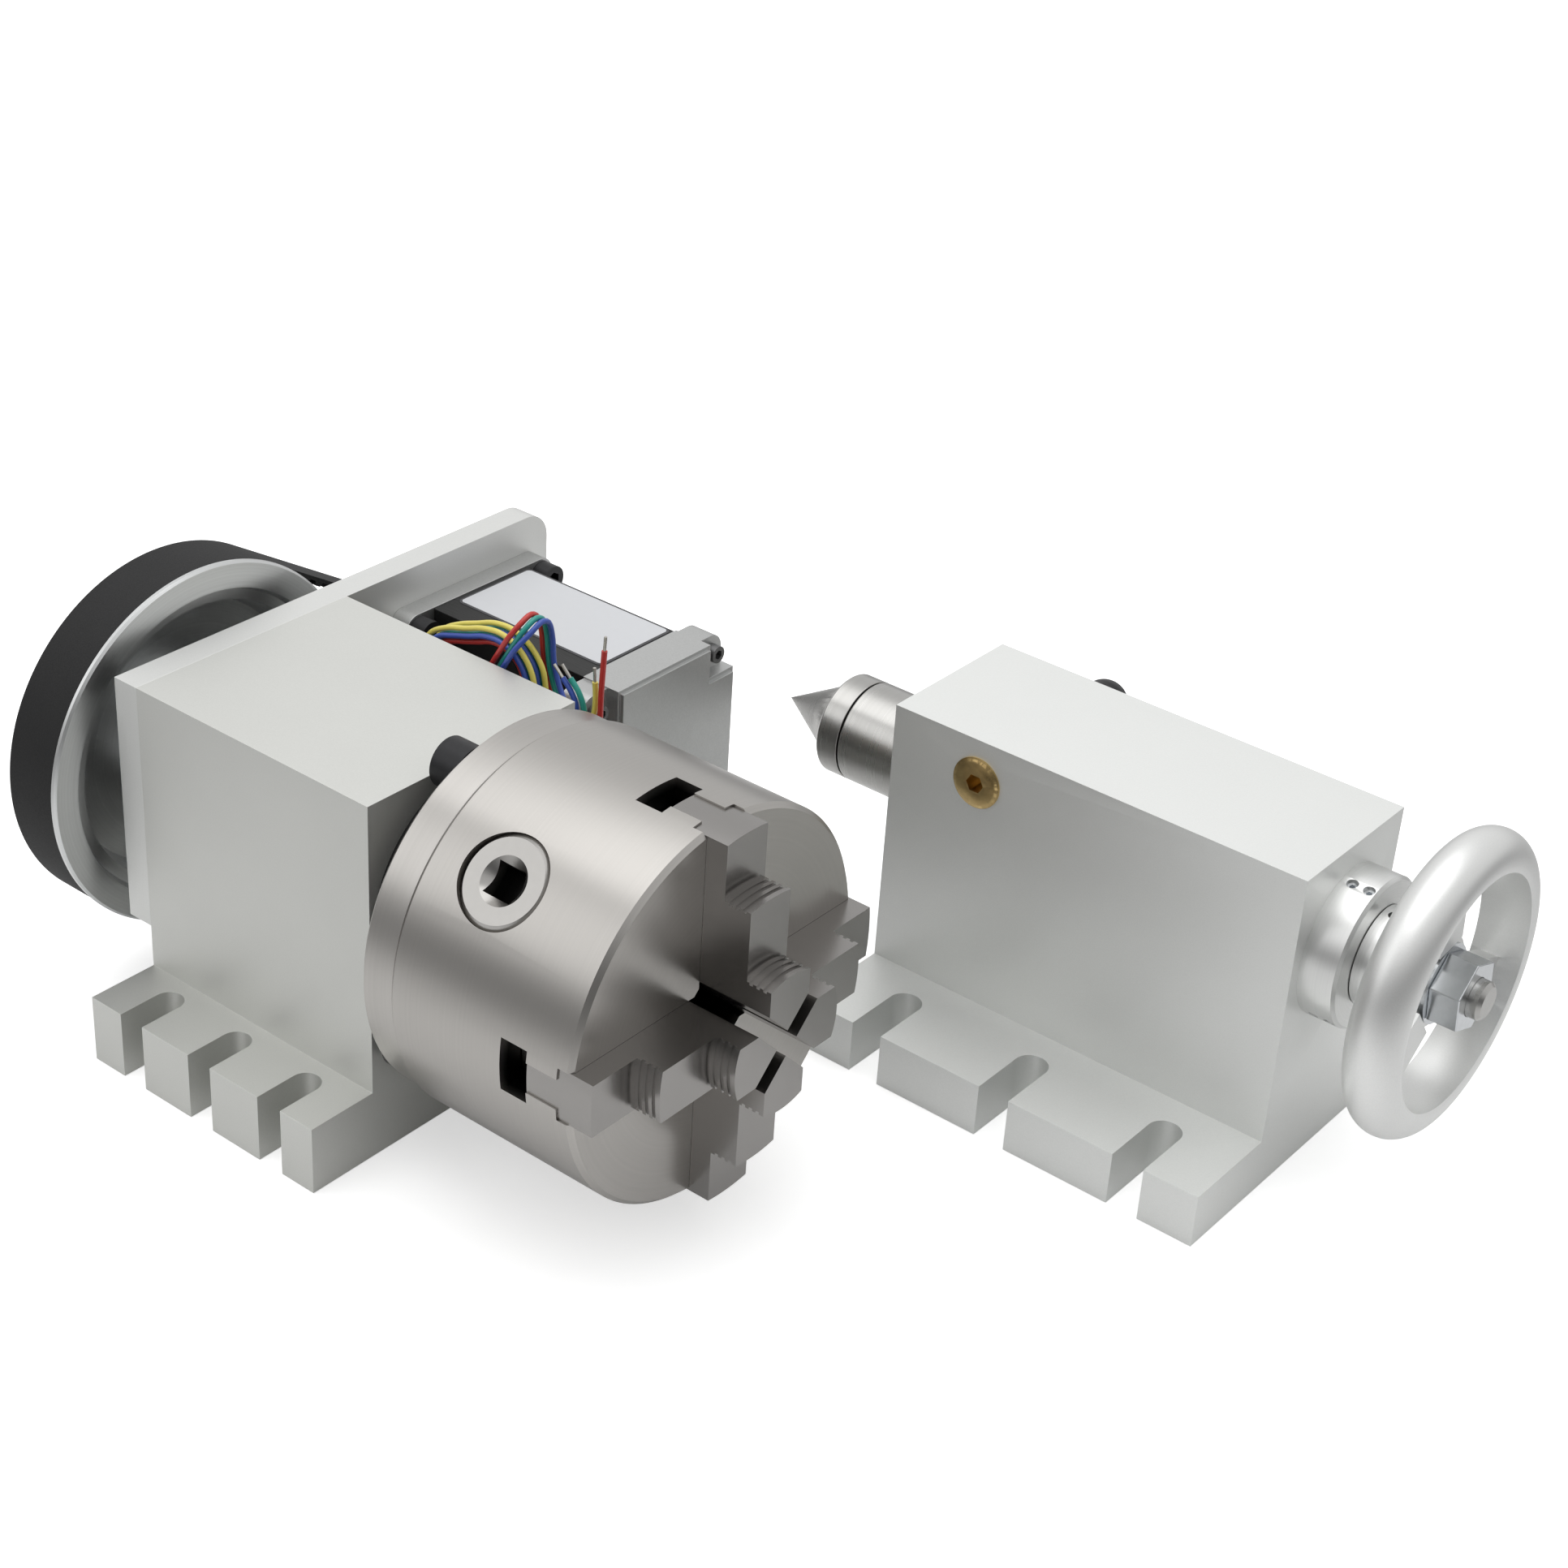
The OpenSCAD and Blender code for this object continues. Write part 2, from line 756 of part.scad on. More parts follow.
// Outline of the pinion's teeth, with a tooth space on the X axis
module spur_profile(r_root, r_tip) {
    step = 360 / pinion_teeth;
    root_half = asin(0.75 / r_root);
    tip_half = asin(0.4 / r_tip);
    polygon([
        for (i = [0 : pinion_teeth - 1], q = [[-root_half, r_root], [-tip_half, r_tip],
                                              [tip_half, r_tip], [root_half, r_root]])
            let (a = (i + 0.5) * step + q[0]) q[1] * [cos(a), sin(a)]
    ]);
}

// A pinion built along +Z: head with a countersunk square socket outside, spur teeth inside
module pinion(angle) {
    gear_tip_r = gear_pitch_r + gear_add;
    gear_root_r = gear_pitch_r - gear_add - 0.3;
    head_z0 = cavity_r + 0.5;
    head_z1 = chuck_r - 0.6;
    head_edge = 1.5;
    sink = 2.1;
    // Turned so that a tooth space meets the nearest tooth of the scroll
    mesh_turn = (angle % (360 / scroll_teeth)) * scroll_teeth / pinion_teeth;
    color(plain_steel)
        at_polar(angle)
            translate([pinion_x, 0, 0]) {
                difference() {
                    union() {
                        translate([0, 0, head_z0])
                            cylinder(h = head_z1 - head_z0 - head_edge, r = pinion_r);
                        translate([0, 0, head_z1 - head_edge])
                            cylinder(h = head_edge, r1 = pinion_r, r2 = pinion_r - 1.3);
                        translate([0, 0, pinion_gear_r0 + 1])
                            cylinder(h = head_z0 - pinion_gear_r0 - 1 + eps, r = gear_root_r - 0.3);
                        translate([0, 0, pinion_gear_r0])
                            rotate([0, 0, mesh_turn])
                                linear_extrude(height = pinion_gear_r1 - pinion_gear_r0)
                                    spur_profile(gear_root_r, gear_tip_r);
                    }
                    translate([-key_square / 2, -key_square / 2, head_z1 - 9])
                        cube([key_square, key_square, 10]);
                    translate([0, 0, head_z1 - sink])
                        cylinder(h = sink + cut, r1 = key_square / 2, r2 = key_square / 2 + sink + cut);
                }
            }
}

module pinion_1() { pinion(pinion_angles[0]); }
module pinion_2() { pinion(pinion_angles[1]); }
module pinion_3() { pinion(pinion_angles[2]); }

// The jaw's outline from the front, along +Z: a pointed nose and a round outer end
module jaw_plan(x0, x1, half, r_tip, r_out) {
    intersection() {
        translate([x0, 0, 0])
            rotate([90, 0, 90])
                linear_extrude(height = x1 - x0)
                    polygon([
                        [0, r_tip], [half, r_tip + half], [half, chuck_r + 2],
                        [-half, chuck_r + 2], [-half, r_tip + half]
                    ]);
        rod(x0 - cut, x1 + cut, r_out);
    }
}

// Three shallow grooves round a step's gripping face
module riser_grooves(r, x_top) {
    for (i = [0 : 2])
        ring(x_top - 2.3 - 2 * i, x_top - 1.3 - 2 * i, r + 5, r - 0.6);
}

module jaw(k) {
    tips = [for (h = jaw_steps) chuck_front + h];
    phase = scroll_pitch * k / 4;
    groove = thread_t + 2 * thread_fit;
    color(ground_steel)
        at_polar(jaw_angles[k])
            difference() {
                union() {
                    jaw_plan(slot_rear + 0.3, cavity_front + eps, jaw_teeth_hw, jaw_tip_r, jaw_base_out_r);
                    jaw_plan(cavity_front, rail_rear - run_fit, jaw_hw - run_fit, jaw_tip_r,
                             jaw_base_out_r);
                    jaw_plan(rail_rear - run_fit - eps, rail_front + run_fit + eps, neck_hw - run_fit,
                             jaw_tip_r, jaw_out_r);
                    jaw_plan(rail_front + run_fit, tips[0], jaw_hw - run_fit, jaw_tip_r, jaw_out_r);
                    jaw_plan(tips[0] - eps, tips[1], jaw_hw - run_fit, jaw_tip_r, jaw_risers[0]);
                    jaw_plan(tips[1] - eps, tips[2], jaw_hw - run_fit, jaw_tip_r, jaw_risers[1]);
                }
                for (n = [-1 : 6]) {
                    r = thread_r1 - phase - n * scroll_pitch;
                    if (r > jaw_tip_r)
                        translate([0, 0, r - tooth_curve_r])
                            ring(slot_rear - cut, cavity_front, tooth_curve_r + groove / 2,
                                 tooth_curve_r - groove / 2);
                }
                riser_grooves(jaw_risers[0], tips[1]);
                riser_grooves(jaw_risers[1], tips[2]);
            }
}

module jaw_1() { jaw(0); }
module jaw_2() { jaw(1); }
module jaw_3() { jaw(2); }
module jaw_4() { jaw(3); }

/* Belt */

// Points of an arc, from one angle to another
function arc_points(r, a0, a1, steps) =
    [for (i = [0 : steps]) r * [cos(a0 + (a1 - a0) * i / steps), sin(a0 + (a1 - a0) * i / steps)]];

// The belt's loop as an outline, at a distance outside the pulleys' belt faces
function belt_loop(out, big_steps, small_steps) =
    concat(
        arc_points(big_in + out, motor_angle + wrap, motor_angle + 360 - wrap, big_steps),
        out > 0 ? [] : run_teeth(-1),
        [for (q = arc_points(small_in + out, motor_angle - wrap, motor_angle + wrap, small_steps))
            q + [motor_y, motor_z]],
        out > 0 ? [] : run_teeth(1)
    );

// Corners of the teeth on one free run, in the order in which the loop passes them
function run_teeth(side) =
    let (a = motor_angle + side * wrap,
         out = [cos(a), sin(a)],
         along = side * [sin(a), -cos(a)],
         count = floor((span_len - 26) / belt_pitch),
         corners = [[-1.3, 0], [-0.7, tooth_h], [0.7, tooth_h], [1.3, 0]])
    [for (k = [0 : 4 * count - 1])
        let (n = side < 0 ? k : 4 * count - 1 - k,
             q = corners[n % 4])
        big_in * out + (16 + floor(n / 4) * belt_pitch + q[0]) * along - q[1] * out];

module belt() {
    color(rubber_black)
        translate([belt_rear, 0, 0])
            rotate([90, 0, 90])
                difference() {
                    linear_extrude(height = belt_w)
                        polygon(belt_loop(belt_back, 72, 18));
                    translate([0, 0, -1])
                        linear_extrude(height = belt_w + 2)
                            polygon(belt_loop(0, 72, 18));
                }
}

/* Motor, in its own place beside the spindle */

module at_motor() {
    translate([0, motor_y, motor_z])
        children();
}

// A square with its corners notched, as a prism along X
module notched_prism(x0, x1, w, notch) {
    h = w / 2;
    n = h - notch;
    box([x0, -h, -n], [x1, h, n]);
    box([x0, -n, -h], [x1, n, h]);
}

module motor_flange() {
    h = motor_w / 2;
    corner = 4.5;
    color(billet)
        at_motor()
            difference() {
                union() {
                    box([motor_front, -h, -h + corner], [stack_x0, h, h - corner]);
                    box([motor_front, -h + corner, -h], [stack_x0, h - corner, h]);
                    for (y = [-1, 1], z = [-1, 1])
                        translate([0, y * (h - corner), z * (h - corner)])
                            rod(motor_front, stack_x0, corner);
                    rod(motor_front - 1.6, motor_front + eps, pilot_r);
                }
                rod(motor_front - 3, stack_x0 + cut, motor_shaft_d / 2 + 3);
                for (y = [-1, 1], z = [-1, 1])
                    translate([0, y * motor_bolt_pitch / 2, z * motor_bolt_pitch / 2])
                        rod(motor_front - cut, stack_x0 + cut, 2.75);
            }
}

module motor_stack() {
    color(black_oxide)
        at_motor()
            difference() {
                notched_prism(stack_x0, cap_x0, motor_w - 0.6, motor_notch);
                rod(stack_x0 - cut, stack_x0 + 12, motor_shaft_d / 2 + run_fit);
            }
}

tie_at = motor_w / 2 - 5.2;

module motor_cap() {
    h = motor_w / 2;
    color([0.62, 0.63, 0.62])
        at_motor()
            difference() {
                union() {
                    notched_prism(cap_x0, motor_x1 - 1, motor_w, motor_notch);
                    notched_prism(motor_x1 - 1 - eps, motor_x1, motor_w - 2, motor_notch);
                    for (y = [-1, 1], z = [-1, 1]) {
                        translate([0, y * tie_at, z * tie_at])
                            rod(cap_x0, motor_x1 - 5, 4.6);
                        box([cap_x0, y * tie_at - 4.6, min(z * tie_at, z * (h - motor_notch - 1))],
                            [motor_x1 - 5, y * tie_at + 4.6, max(z * tie_at, z * (h - motor_notch - 1))]);
                        box([cap_x0, min(y * tie_at, y * (h - motor_notch - 1)), z * tie_at - 4.6],
                            [motor_x1 - 5, max(y * tie_at, y * (h - motor_notch - 1)), z * tie_at + 4.6]);
                    }
                }
                for (y = [-1, 1], z = [-1, 1])
                    translate([0, y * tie_at, z * tie_at])
                        rod(cap_x0 - cut, motor_x1 - 5 + cut, 1.5 + run_fit);
            }
}

module motor_tie_screws() {
    color(black_oxide)
        at_motor()
            for (y = [-1, 1], z = [-1, 1])
                translate([0, y * tie_at, z * tie_at])
                    cap_screw(motor_x1 - 5, 3, motor_cap_len - 6);
}

module motor_mount_screws() {
    color(black_oxide)
        at_motor()
            for (y = [-1, 1], z = [-1, 1])
                translate([0, y * motor_bolt_pitch / 2, z * motor_bolt_pitch / 2])
                    cap_screw(stack_x0, 5, motor_flange_t + plate_t - 1);
}

shaft_end = motor_front - shaft_out;

module motor_shaft() {
    color(plain_steel)
        at_motor()
            rod(shaft_end, stack_x0 + 10, motor_shaft_d / 2);
}

module motor_pulley() {
    flange_r = small_in + belt_back + 1.5;
    color(billet)
        at_motor()
            difference() {
                union() {
                    rod(belt_rear - 0.5, belt_front + 0.5, small_r);
                    rod(belt_rear - 2, belt_rear - 0.5 + eps, flange_r);
                    rod(belt_front + 0.5 - eps, belt_front + 2, flange_r);
                    rod(belt_front + 2 - eps, plate_rear - 1, small_r);
                }
                for (i = [0 : small_teeth - 1])
                    rotate([i * 360 / small_teeth, 0, 0])
                        tooth_groove(small_r, belt_rear - 0.5, belt_front + 0.5);
                rod(belt_rear - 3, plate_rear, motor_shaft_d / 2);
            }
}

grommet_at = [cap_x0 + 6.5, motor_y - motor_w / 2, motor_z + 8];

module lead_grommet() {
    color(rubber_black)
        box(grommet_at - [4, 1.5, 4], grommet_at + [4, 0, 4]);
}

/* Motor leads: four free wires, from the grommet into a hank beside the motor */

lead_d = 1.5;
lead_rows = [-2.4, -0.8, 0.8, 2.4];
hank_y0 = block_w / 2 + gap;
hank_y1 = motor_y - motor_w / 2 - gap;
hank_ends = [[-46, 27], [-30, 31.5]];
hank_r_out = 16;
hank_r_in = 9;

// Rings of a round tube that follows a list of points
function unit(v) = v / norm(v);
function tangent(p, i) = unit(p[min(i + 1, len(p) - 1)] - p[max(i - 1, 0)]);
function tube_ring(p, i, r, sides) =
    let (t = tangent(p, i), u = unit(cross(t, [0.13, 0.97, 0.21])), w = cross(t, u))
    [for (s = [0 : sides - 1]) p[i] + r * (cos(360 * s / sides) * u + sin(360 * s / sides) * w)];

module sweep(p, d) {
    sides = 8;
    n = len(p);
    polyhedron(
        points = [for (i = [0 : n - 1]) for (q = tube_ring(p, i, d / 2, sides)) q],
        faces = concat(
            [[for (s = [0 : sides - 1]) s]],
            [for (i = [0 : n - 2]) for (s = [0 : sides - 1])
                [i * sides + s, (i + 1) * sides + s,
                 (i + 1) * sides + (s + 1) % sides, i * sides + (s + 1) % sides]],
            [[for (s = [sides - 1 : -1 : 0]) (n - 1) * sides + s]]
        )
    );
}

// The four wires leave the grommet side by side, turn up and enter the hank
exit_route = [[0, 0, 0], [0, -2, 0], [0, -3.8, 1], [-0.4, -4.8, 3], [-1, -4.8, 6], [-3.2, -4.8, 14],
              [-5, -4.8, 21]];
// Two wires' free ends stand up beside the motor, the other two lie over the hank's end
tall_end = [[-19, 47.6, 38], [-15, 48, 33], [-11, 48, 29], [-7, 47.5, 28], [-4, 47, 31], [-3, 47, 37],
            [-2, 47, 46]];
short_end = [[-17.5, 43.5, 33], [-13.5, 43.8, 28.5], [-10, 44, 26.5], [-7.6, 44, 28], [-8, 44, 31],
             [-10, 44, 34], [-12.2, 43.9, 36.5]];

module lead(row, tone, free_end, side) {
    start = grommet_at + [row, -1.5, 0];
    color(tone) {
        sweep([for (q = exit_route) start + q], lead_d);
        sweep([for (q = free_end) q + [0, side, 0]], lead_d);
    }
}

module lead_yellow() { lead(lead_rows[0], [0.85, 0.80, 0.30], tall_end, 0); }
module lead_blue() { lead(lead_rows[1], [0.20, 0.28, 0.62], short_end, 0); }
module lead_green() { lead(lead_rows[2], [0.16, 0.55, 0.48], short_end, -1.8); }
module lead_red() { lead(lead_rows[3], [0.75, 0.15, 0.14], tall_end, -1.8); }

// A long loop's outline: two round ends and the straight part between them
module hank_outline(r) {
    way = unit(hank_ends[1] - hank_ends[0]);
    side = r * [-way[1], way[0]];
    for (p = hank_ends)
        translate(p)
            circle(r = r);
    polygon([
        hank_ends[0] + side, hank_ends[0] - side,
        hank_ends[1] - side, hank_ends[1] + side
    ]);
}

module lead_hank() {
    color([0.30, 0.32, 0.50])
        translate([0, hank_y1, 0])
            rotate([90, 0, 0])
                linear_extrude(height = hank_y1 - hank_y0)
                    difference() {
                        hank_outline(hank_r_out);
                        hank_outline(hank_r_in);
                    }
}

/* Tailstock */

module at_tail() {
    translate([0, tail_y, 0])
        children();
}

key_x = tail_x + 8;
key_l = 14;

module tail_body() {
    color(bright_billet)
        at_tail()
            difference() {
                footed_body(tail_x, tail_len, tail_w, tail_top, tail_foot_top, tail_foot_w,
                            tail_slot_w, tail_slot_pitch, tail_slot_land);
                rod(tail_x - cut, screw_flange_x + cut, quill_r + run_fit);
                rod(screw_flange_x - cut, tail_x1 + cut, rear_bore_r);
                translate(plug_at)
                    rotate([90, 0, 0])
                        cylinder(h = tail_w, r = plug_d / 2);
                translate(plug_at)
                    rotate([-90, 0, 0]) {
                        cylinder(h = tail_w, r = 4 + run_fit);
                        cylinder(h = tail_w / 2 - 8, r = 5 + run_fit);
                    }
                box([key_x, -key_w / 2, -quill_r - 2.5], [key_x + key_l, key_w / 2, 0]);
            }
}

module quill() {
    color(plain_steel)
        at_tail()
            difference() {
                lathe([
                    [quill_x0, bush_r], [quill_x0, quill_r - 0.4], [quill_x0 + 0.4, quill_r],
                    [quill_x1 - 0.6, quill_r], [quill_x1, quill_r - 0.6],
                    [quill_x1, screw_r + 4], [quill_x1 - 14, screw_r + 4],
                    [quill_x1 - 14, screw_r + 0.6], [quill_x0 + shank_len + 2, screw_r + 0.6],
                    [quill_x0 + shank_len + 2, bush_r]
                ]);
                box([quill_x0 + 8, -key_w / 2 - 0.1, -quill_r - 1],
                    [quill_x1 - 10, key_w / 2 + 0.1, -quill_r + 2.6]);
            }
}

module quill_nut() {
    color(brass_tone)
        at_tail()
            ring(quill_x1 - 14, quill_x1, screw_r + 4, screw_r + run_fit);
}

module quill_key() {
    color(dark_steel)
        at_tail()
            box([key_x, -key_w / 2, -quill_r - 2.5],
                [key_x + key_l, key_w / 2, -quill_r - 2.5 + key_h]);
}

module centre_bush() {
    color([0.60, 0.45, 0.30])
        at_tail()
            ring(quill_x0 + 2, quill_x0 + 2 + bush_len, bush_r, centre_shank_r + run_fit);
}

module live_centre() {
    color(plain_steel)
        at_tail()
            lathe([
                [tip_x, 0], [head_x0, cone_r], [head_x0, quill_r - 0.8],
                [head_x0 + 0.8, quill_r], [quill_x0 - 0.3, quill_r],
                [quill_x0 - 0.3, centre_shank_r], [quill_x0 + shank_len - 1, centre_shank_r],
                [quill_x0 + shank_len, centre_shank_r - 1], [quill_x0 + shank_len, 0]
            ]);
}

module lock_plug() {
    color(brass_tone)
        at_tail()
            difference() {
                translate(plug_at)
                    rotate([90, 0, 0]) {
                        cylinder(h = tail_w / 2 + 0.4, r = plug_d / 2);
                        translate([0, 0, tail_w / 2 + 0.4 - eps])
                            cylinder(h = 0.6, r1 = plug_d / 2, r2 = plug_d / 2 - 1.2);
                    }
                rod(tail_x, tail_x1, quill_r + 0.02);
                box([tail_x, -3, -quill_r], [tail_x1, tail_w, tail_top]);
                translate(plug_at)
                    rotate([90, 0, 0])
                        translate([0, 0, tail_w / 2 - 4])
                            cylinder(h = 8, r = 2.6, $fn = 6);
            }
}

module lock_pad() {
    color(brass_tone)
        at_tail()
            difference() {
                translate(plug_at)
                    rotate([-90, 0, 0])
                        cylinder(h = tail_w / 2 - 8.5, r = 5);
                rod(tail_x, tail_x1, quill_r + 0.02);
                box([tail_x, -tail_w, -quill_r], [tail_x1, 3, tail_top]);
            }
}

lever_y0 = tail_w / 2 + 1;
lever_hub_r = 6.5;
lever_hub_len = 10;
stud_in_hub = 8;
lever_len = 46;
lever_tilt = 20;

module clamp_stud() {
    color(plain_steel)
        at_tail()
            translate(plug_at)
                rotate([-90, 0, 0]) {
                    translate([0, 0, tail_w / 2 - 8.2])
                        cylinder(h = lever_y0 + stud_in_hub - tail_w / 2 + 8.2, r = 4);
                    translate([0, 0, tail_w / 2 + 0.2])
                        cylinder(h = 0.8, r = 7);
                }
}

module clamp_lever() {
    color(black_oxide)
        at_tail()
            translate(plug_at)
                difference() {
                    union() {
                        rotate([-90, 0, 0])
                            translate([0, 0, lever_y0])
                                cylinder(h = lever_hub_len, r = lever_hub_r);
                        translate([0, lever_y0 + lever_hub_len, 0])
                            sphere(r = lever_hub_r);
                        translate([0, lever_y0 + lever_hub_len - 1, 0])
                            rotate([180 + lever_tilt, 0, 0]) {
                                cylinder(h = lever_len, r1 = 4.5, r2 = 3.5);
                                translate([0, 0, lever_len])
                                    sphere(r = 6);
                            }
                    }
                    rotate([-90, 0, 0])
                        translate([0, 0, lever_y0 - cut])
                            cylinder(h = stud_in_hub + cut, r = 4);
                }
}

module leadscrew() {
    color(plain_steel)
        at_tail()
            lathe([
                [screw_x0, 0], [screw_x0, screw_r - 1],
                [screw_x0 + 1, screw_r], [screw_flange_x, screw_r],
                [screw_flange_x, 12], [screw_flange_x + screw_flange_t, 12],
                [screw_flange_x + screw_flange_t, 7], [collar_x0, 7],
                [collar_x0, screw_r], [washer_x, screw_r], [washer_x, 5],
                [screw_end - 1, 5], [screw_end, 4], [screw_end, 0]
            ]);
}

ring_holes_x = [tail_x1 + 3, ring_x1 - 2.5];
ring_screw_angles = [105, 225, 345];

module rear_ring() {
    color(bright_billet)
        at_tail()
            difference() {
                union() {
                    rod(screw_flange_x + screw_flange_t + 0.2, tail_x1 + eps, rear_bore_r - run_fit);
                    lathe([
                        [tail_x1, 0], [tail_x1, rear_ring_d / 2], [ring_x1 - 0.8, rear_ring_d / 2],
                        [ring_x1, rear_ring_d / 2 - 0.8], [ring_x1, 0]
                    ]);
                }
                rod(screw_flange_x, ring_x1 + cut, 7 + run_fit);
                for (a = ring_screw_angles, x = ring_holes_x)
                    at_polar(a)
                        translate([x, 0, 10])
                            cylinder(h = rear_ring_d, r = 1.5);
            }
}

module ring_screws() {
    screw_top = rear_ring_d / 2 - 1.2;
    color(plain_steel)
        at_tail()
            for (a = ring_screw_angles, x = ring_holes_x)
                at_polar(a)
                    translate([x, 0, 10])
                        difference() {
                            cylinder(h = screw_top - 10, r = 1.45);
                            translate([0, 0, screw_top - 11.5])
                                cylinder(h = 1.5 + cut, r = 0.85, $fn = 6);
                        }
}

module wheel_collar() {
    color(plain_steel)
        at_tail()
            difference() {
                ring(collar_x0, hub_x0, collar_r, screw_r);
                at_polar(95)
                    translate([collar_x0 + 3, 0, screw_r - cut])
                        cylinder(h = collar_r, r = 1.5);
            }
}

module handwheel() {
    r = wheel_d / 2;
    t = wheel_rim_t;
    w = wheel_rim_w;
    spoke_x0 = rim_x0 + w * 0.2;
    spoke_t = 5;
    wheel_hub_r = 12;
    color([0.85, 0.86, 0.86])
        at_tail()
            difference() {
                union() {
                    rotate([0, 90, 0])
                        rotate_extrude()
                            translate([r - w / 2, rim_x0 + w / 2])
                                intersection() {
                                    circle(r = w / 2, $fn = 64);
                                    translate([w / 2 - t, -w])
                                        square([t, 2 * w]);
                                }
                    ring(hub_x0, washer_x, wheel_hub_r, screw_r);
                    round_x(wheel_spokes, -23)
                        box([spoke_x0, -wheel_spoke_w / 2, wheel_hub_r - 0.8],
                            [spoke_x0 + spoke_t, wheel_spoke_w / 2, r - t + 1]);
                }
                rod(hub_x0 - cut, washer_x + cut, screw_r);
            }
}

module wheel_washer() {
    color(plain_steel)
        at_tail()
            ring(washer_x, washer_x + washer_t, 10.5, 5.3);
}

module wheel_nut() {
    color(plain_steel)
        at_tail()
            difference() {
                translate([washer_x + washer_t, 0, 0])
                    rotate([0, 90, 0])
                        rotate([0, 0, 10])
                            cylinder(h = nut_len, r = nut_flats / sqrt(3), $fn = 6);
                rod(washer_x, screw_end, 5);
            }
}

headstock_block();
motor_plate();
plate_screws();
front_bearing_outer();
front_bearing_inner();
front_bearing_balls();
rear_bearing_outer();
rear_bearing_inner();
rear_bearing_balls();
front_cover();
cover_screws();
spindle();
pulley_key();
spindle_pulley();
locknut();
backplate();
nose_screws();
chuck_screws();
chuck_body();
scroll_cover();
scroll();
pinion_1();
pinion_2();
pinion_3();
jaw_1();
jaw_2();
jaw_3();
jaw_4();
belt();
motor_flange();
motor_stack();
motor_cap();
motor_tie_screws();
motor_mount_screws();
motor_shaft();
motor_pulley();
lead_grommet();
lead_yellow();
lead_blue();
lead_green();
lead_red();
lead_hank();
tail_body();
quill();
quill_nut();
quill_key();
centre_bush();
live_centre();
lock_plug();
lock_pad();
clamp_stud();
clamp_lever();
leadscrew();
rear_ring();
ring_screws();
wheel_collar();
handwheel();
wheel_washer();
wheel_nut();
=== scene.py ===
"""Looks of a belt-driven rotary axis for a small mill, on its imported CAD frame.

The row's frame is in metres: +X along the spindle out of the chuck, +Y across to the
motor and the tailstock, +Z up. Each sub-assembly is a class with its sizes as fields.
"""

import json
import logging
import math
from dataclasses import dataclass, field
from enum import Enum
from typing import Sequence

import bmesh
import bpy
import numpy as np
from mathutils import Matrix, Vector


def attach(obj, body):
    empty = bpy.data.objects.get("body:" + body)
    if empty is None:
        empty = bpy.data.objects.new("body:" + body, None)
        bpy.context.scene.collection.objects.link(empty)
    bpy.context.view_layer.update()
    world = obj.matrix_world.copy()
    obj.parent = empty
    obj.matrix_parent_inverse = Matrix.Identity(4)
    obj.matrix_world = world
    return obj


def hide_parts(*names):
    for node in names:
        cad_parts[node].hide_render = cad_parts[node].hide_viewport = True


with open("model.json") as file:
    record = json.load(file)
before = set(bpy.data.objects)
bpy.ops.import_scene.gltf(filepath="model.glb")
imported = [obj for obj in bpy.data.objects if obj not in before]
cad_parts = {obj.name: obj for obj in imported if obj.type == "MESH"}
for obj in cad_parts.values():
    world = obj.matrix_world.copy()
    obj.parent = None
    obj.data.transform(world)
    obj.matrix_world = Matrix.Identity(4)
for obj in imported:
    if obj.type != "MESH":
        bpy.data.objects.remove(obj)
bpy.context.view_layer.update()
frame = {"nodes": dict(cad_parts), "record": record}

log = logging.getLogger("rotary_axis")

Colour = tuple[float, float, float]
Point = tuple[float, float, float]

MM = 0.001
BUMP_DEPTH = 0.2 * MM
BODY_OF: dict[str, str] = {
    node: body
    for body, nodes in frame["record"]["behaviour"]["bodies"].items()
    for node in nodes
}


# Shading


class Grain(Enum):
    """How a surface was made, which picks the pattern that its finish uses."""

    TURNED = "turned"
    BRUSHED = "brushed"
    BLASTED = "blasted"
    MOULDED = "moulded"


